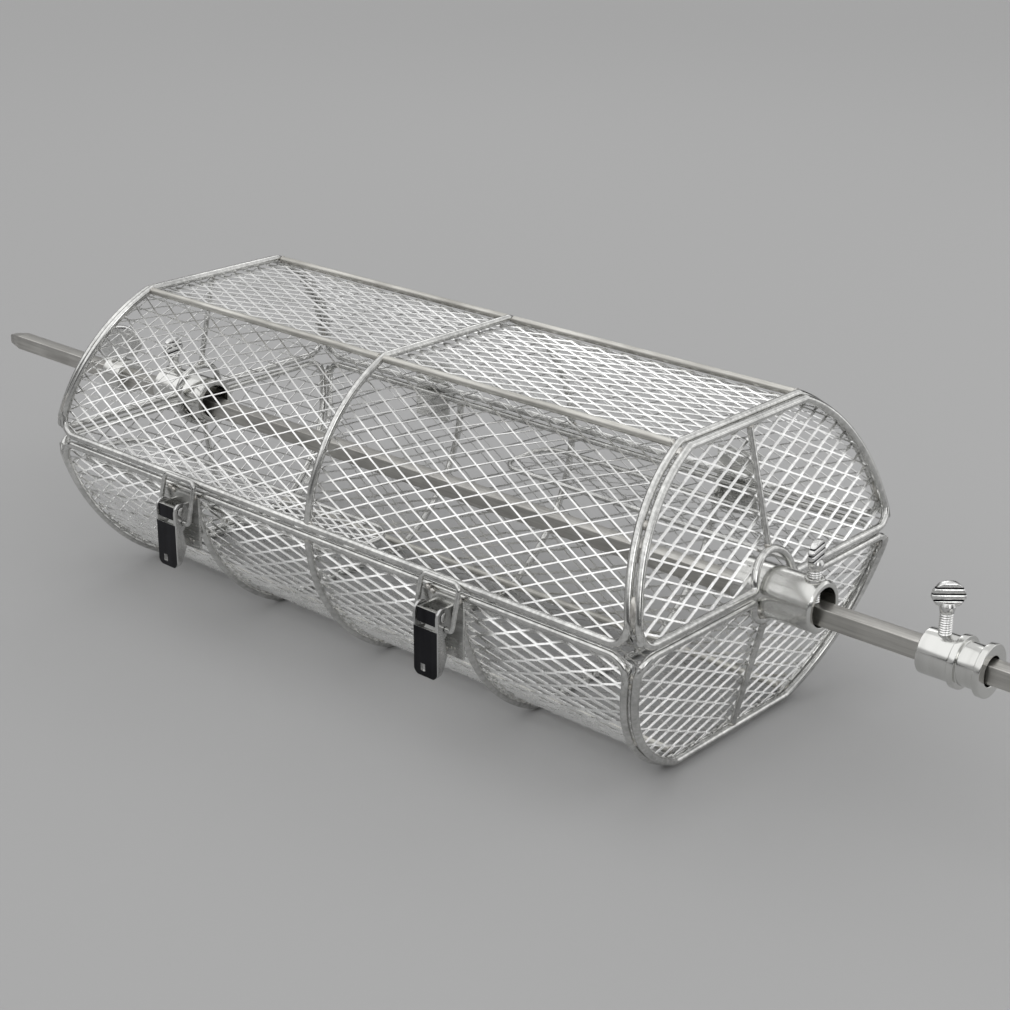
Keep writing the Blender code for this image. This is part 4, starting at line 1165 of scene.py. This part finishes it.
def paint_front_reflection(item, top):
    """Painted dark reflection: the near-black material on the front-facing faces ahead of the lever's pivot,
    up to a height.
    """
    item.data.materials.append(PAINTED_SHADE_AND_REFLECTION)
    for face in item.data.polygons:
        in_front = face.normal.y < FRONT_FACING and face.center.y < PIVOT_Y - REFLECTION_PAINT_AHEAD
        if in_front and face.center.z < top:
            face.material_index = 1


def cut_off(shape, point, normal):
    """Removes what lies beyond a plane and closes the cut."""
    everything = shape.verts[:] + shape.edges[:] + shape.faces[:]
    bmesh.ops.bisect_plane(
        shape, geom=everything, dist=CUT_MERGE, plane_co=point, plane_no=normal, clear_outer=True,
    )
    bmesh.ops.holes_fill(shape, edges=[edge for edge in shape.edges if edge.is_boundary])


def latch_lever(node, x):
    """Lever bent from sheet, with round front corners and a round lower end."""
    shape = solid_copy(node)
    front = PIVOT_Y - LEVER_CROWN_RADIUS
    half = LEVER_WIDTH / 2

    def on_corner(point):
        return abs(point.y - front) < NEAR and abs(abs(point.x - x) - half) < NEAR

    bends = [edge for edge in shape.edges if all(on_corner(end.co) for end in edge.verts)]
    ease(shape, bends, LEVER_BEND_RADIUS, BEND_STEPS)
    foot = PIVOT_Z - LEVER_LENGTH + LEVER_FOOT_RADIUS
    for side in (-1, 1):
        for step in range(LEVER_FOOT_CUTS):
            turn = math.pi / 2 * (step + 0.5) / LEVER_FOOT_CUTS
            normal = Vector((side * math.cos(turn), 0.0, -math.sin(turn)))
            centre = Vector((x + side * (half - LEVER_FOOT_RADIUS), PIVOT_Y, foot))
            cut_off(shape, centre + normal * LEVER_FOOT_RADIUS, normal)
    # The lever's front below this height gets the painted dark reflection.
    painted_top = PIVOT_Z - REFLECTION_PAINT_DROP
    paint_front_reflection(softened(node, shape, painted_top), painted_top)


def latch_pin(node, x):
    """Rivet with a domed head at each end."""
    inner = LEVER_WIDTH / 2 + GAP
    head = [(inner, PIN_RADIUS)]
    for step in range(PIN_HEAD_STEPS):
        turn = math.pi / 2 * step / PIN_HEAD_STEPS
        head.append((inner + PIN_HEAD_HEIGHT * math.sin(turn), PIN_HEAD_RADIUS * math.cos(turn)))
    profile = [(x - reach, radius, 0.0) for reach, radius in reversed(head)]
    profile += [(x + reach, radius, 0.0) for reach, radius in head]
    shape = bmesh.new()
    turned(shape, profile, Vector((0.0, PIVOT_Y, PIVOT_Z)), 0, PIN_SIDES, False)
    bmesh.ops.recalc_face_normals(shape, faces=shape.faces)
    stand_for(node, shape, MATERIALS["screw_steel"])


def latch_bail(node, x):
    bar_z = AXIS_Z + BAIL_RISE
    end = LEVER_WIDTH / 2 - LEVER_WALL
    reach = BAIL_HALF_WIDTH
    corners = [
        (Vector((x - end, BAIL_Y, BAIL_Z)), 0.0),
        (Vector((x - reach, BAIL_Y, BAIL_Z)), BAIL_WIRE / 2),
        (Vector((x - reach, BAIL_BAR_Y, bar_z)), BAIL_CORNER_RADIUS),
        (Vector((x + reach, BAIL_BAR_Y, bar_z)), BAIL_CORNER_RADIUS),
        (Vector((x + reach, BAIL_Y, BAIL_Z)), BAIL_WIRE / 2),
        (Vector((x + end, BAIL_Y, BAIL_Z)), 0.0),
    ]
    path = rounded(corners)
    face = Vector((0.0, bar_z - BAIL_Z, BAIL_Y - BAIL_BAR_Y)).normalized()
    stand_for(node, tube(path, BAIL_WIRE, [face] * len(path), False))


def latch(side_name, x):
    plate = side_name + "_latch_plate"
    # The plate's front below the axis gets the painted dark reflection.
    paint_front_reflection(softened(plate, solid_copy(plate)), AXIS_Z)
    latch_lever(side_name + "_latch_lever", x)
    latch_pin(side_name + "_latch_pin", x)
    latch_bail(side_name + "_latch_bail", x)


def hinge(side_name, x):
    for leaf in (side_name + "_hinge_base_leaf", side_name + "_hinge_lid_leaf"):
        softened(leaf, solid_copy(leaf))
    reach = HINGE_WIDTH / 2
    shape = bmesh.new()
    profile = [
        (x - reach, PIN_RADIUS / 2, 0.0),
        (x - reach + GAP, PIN_RADIUS, 0.0),
        (x + reach - GAP, PIN_RADIUS, 0.0),
        (x + reach, PIN_RADIUS / 2, 0.0),
    ]
    turned(shape, profile, Vector((0.0, HINGE_Y, AXIS_Z)), 0, PIN_SIDES, False)
    bmesh.ops.recalc_face_normals(shape, faces=shape.faces)
    stand_for(side_name + "_hinge_pin", shape)


# Studio

def camera():
    """Camera at the photo's viewpoint."""
    flat = math.cos(CAMERA_ELEVATION)
    back = Vector((
        math.sin(CAMERA_AZIMUTH) * flat,
        -math.cos(CAMERA_AZIMUTH) * flat,
        math.sin(CAMERA_ELEVATION),
    ))
    level = (-back).cross(Z_AXIS).normalized()
    upright = level.cross(-back)
    right = level * math.cos(CAMERA_ROLL) + upright * math.sin(CAMERA_ROLL)
    up = upright * math.cos(CAMERA_ROLL) - level * math.sin(CAMERA_ROLL)
    data = bpy.data.cameras.new("camera")
    data.sensor_width = SENSOR
    data.lens = FOCAL_PIXELS / IMAGE_SIDE * SENSOR
    data.clip_start = CLIP_START
    item = bpy.data.objects.new("camera", data)
    place = Matrix((right, up, back)).transposed().to_4x4()
    place.translation = CAMERA_TARGET + back * CAMERA_DISTANCE
    item.matrix_world = place
    bpy.context.scene.collection.objects.link(item)
    bpy.context.scene.camera = item


def floor():
    """Pale matte floor."""
    shape = bmesh.new()
    bmesh.ops.create_grid(shape, x_segments=FLOOR_CELLS, y_segments=FLOOR_CELLS, size=FLOOR_SIZE)
    mesh = bpy.data.meshes.new("floor")
    shape.to_mesh(mesh)
    shape.free()
    material = bpy.data.materials.new("pale_floor")
    material.use_nodes = True
    shader = material.node_tree.nodes["Principled BSDF"]
    shader.inputs["Base Color"].default_value = (FLOOR_TONE, FLOOR_TONE, FLOOR_TONE, 1.0)
    shader.inputs["Roughness"].default_value = FLOOR_ROUGHNESS
    shader.inputs["Specular IOR Level"].default_value = FLOOR_SHINE
    mesh.materials.append(material)
    item = bpy.data.objects.new("floor", mesh)
    item.location.z = -FLOOR_DROP
    bpy.context.scene.collection.objects.link(item)


def world():
    """Studio that is pale at the horizon, dark above it and bright overhead."""
    studio = bpy.data.worlds.new("studio")
    studio.use_nodes = True
    tree = studio.node_tree
    place = tree.nodes.new("ShaderNodeTexCoord")
    parts = tree.nodes.new("ShaderNodeSeparateXYZ")
    tree.links.new(place.outputs["Generated"], parts.inputs["Vector"])
    ramp = tree.nodes.new("ShaderNodeValToRGB")
    for index, (place_z, level) in enumerate(SKY_STOPS):
        element = ramp.color_ramp.elements[index] if index < 2 else ramp.color_ramp.elements.new(place_z)
        element.position = place_z
        element.color = (level, level, level, 1.0)
    tree.links.new(parts.outputs["Z"], ramp.inputs["Fac"])
    background = tree.nodes["Background"]
    background.inputs["Strength"].default_value = 1.0
    tree.links.new(ramp.outputs["Color"], background.inputs["Color"])
    bpy.context.scene.world = studio


def lamp(data, place):
    """Places a lamp and aims it at the basket."""
    item = bpy.data.objects.new(data.name, data)
    item.location = place
    aim = Vector((0.0, 0.0, AXIS_Z)) - item.location
    item.rotation_euler = aim.to_track_quat("-Z", "Y").to_euler()
    bpy.context.scene.collection.objects.link(item)


def sun(name, place, strength, angle):
    data = bpy.data.lights.new(name, "SUN")
    data.energy = strength
    data.angle = angle
    lamp(data, place)


def panel(name, place, size, power):
    data = bpy.data.lights.new(name, "AREA")
    data.shape = "RECTANGLE"
    data.size = size[0]
    data.size_y = size[1]
    data.energy = power
    lamp(data, place)


def studio():
    camera()
    floor()
    world()
    sun("key", SUN_PLACE, SUN_STRENGTH, SUN_ANGLE)
    for name, place, size, power in PANELS:
        panel(name, place, size, power)
    bpy.context.scene.view_settings.view_transform = "Standard"


def main():
    studio()
    basket_half("lid", LID, LID_SIDE_RISE)
    basket_half("base", BASE, BASE_SIDE_RISE)
    edge_rods()
    lid_welds()
    base_welds()
    hub_welds()
    for side_name, side in (("left", -1), ("right", 1)):
        hoop(f"base_{side_name}_latch_hoop", BASE, side * LATCH_X + LATCH_HOOP_SHIFT)
        paddle(side_name, -side)
        hub(side_name, side)
        latch(side_name, side * LATCH_X)
        hinge(side_name, side * HINGE_X)
    spit()
    collar("left_collar", LEFT_COLLAR_X)
    collar("right_collar", RIGHT_COLLAR_X)
    bush()
    screws()


main()
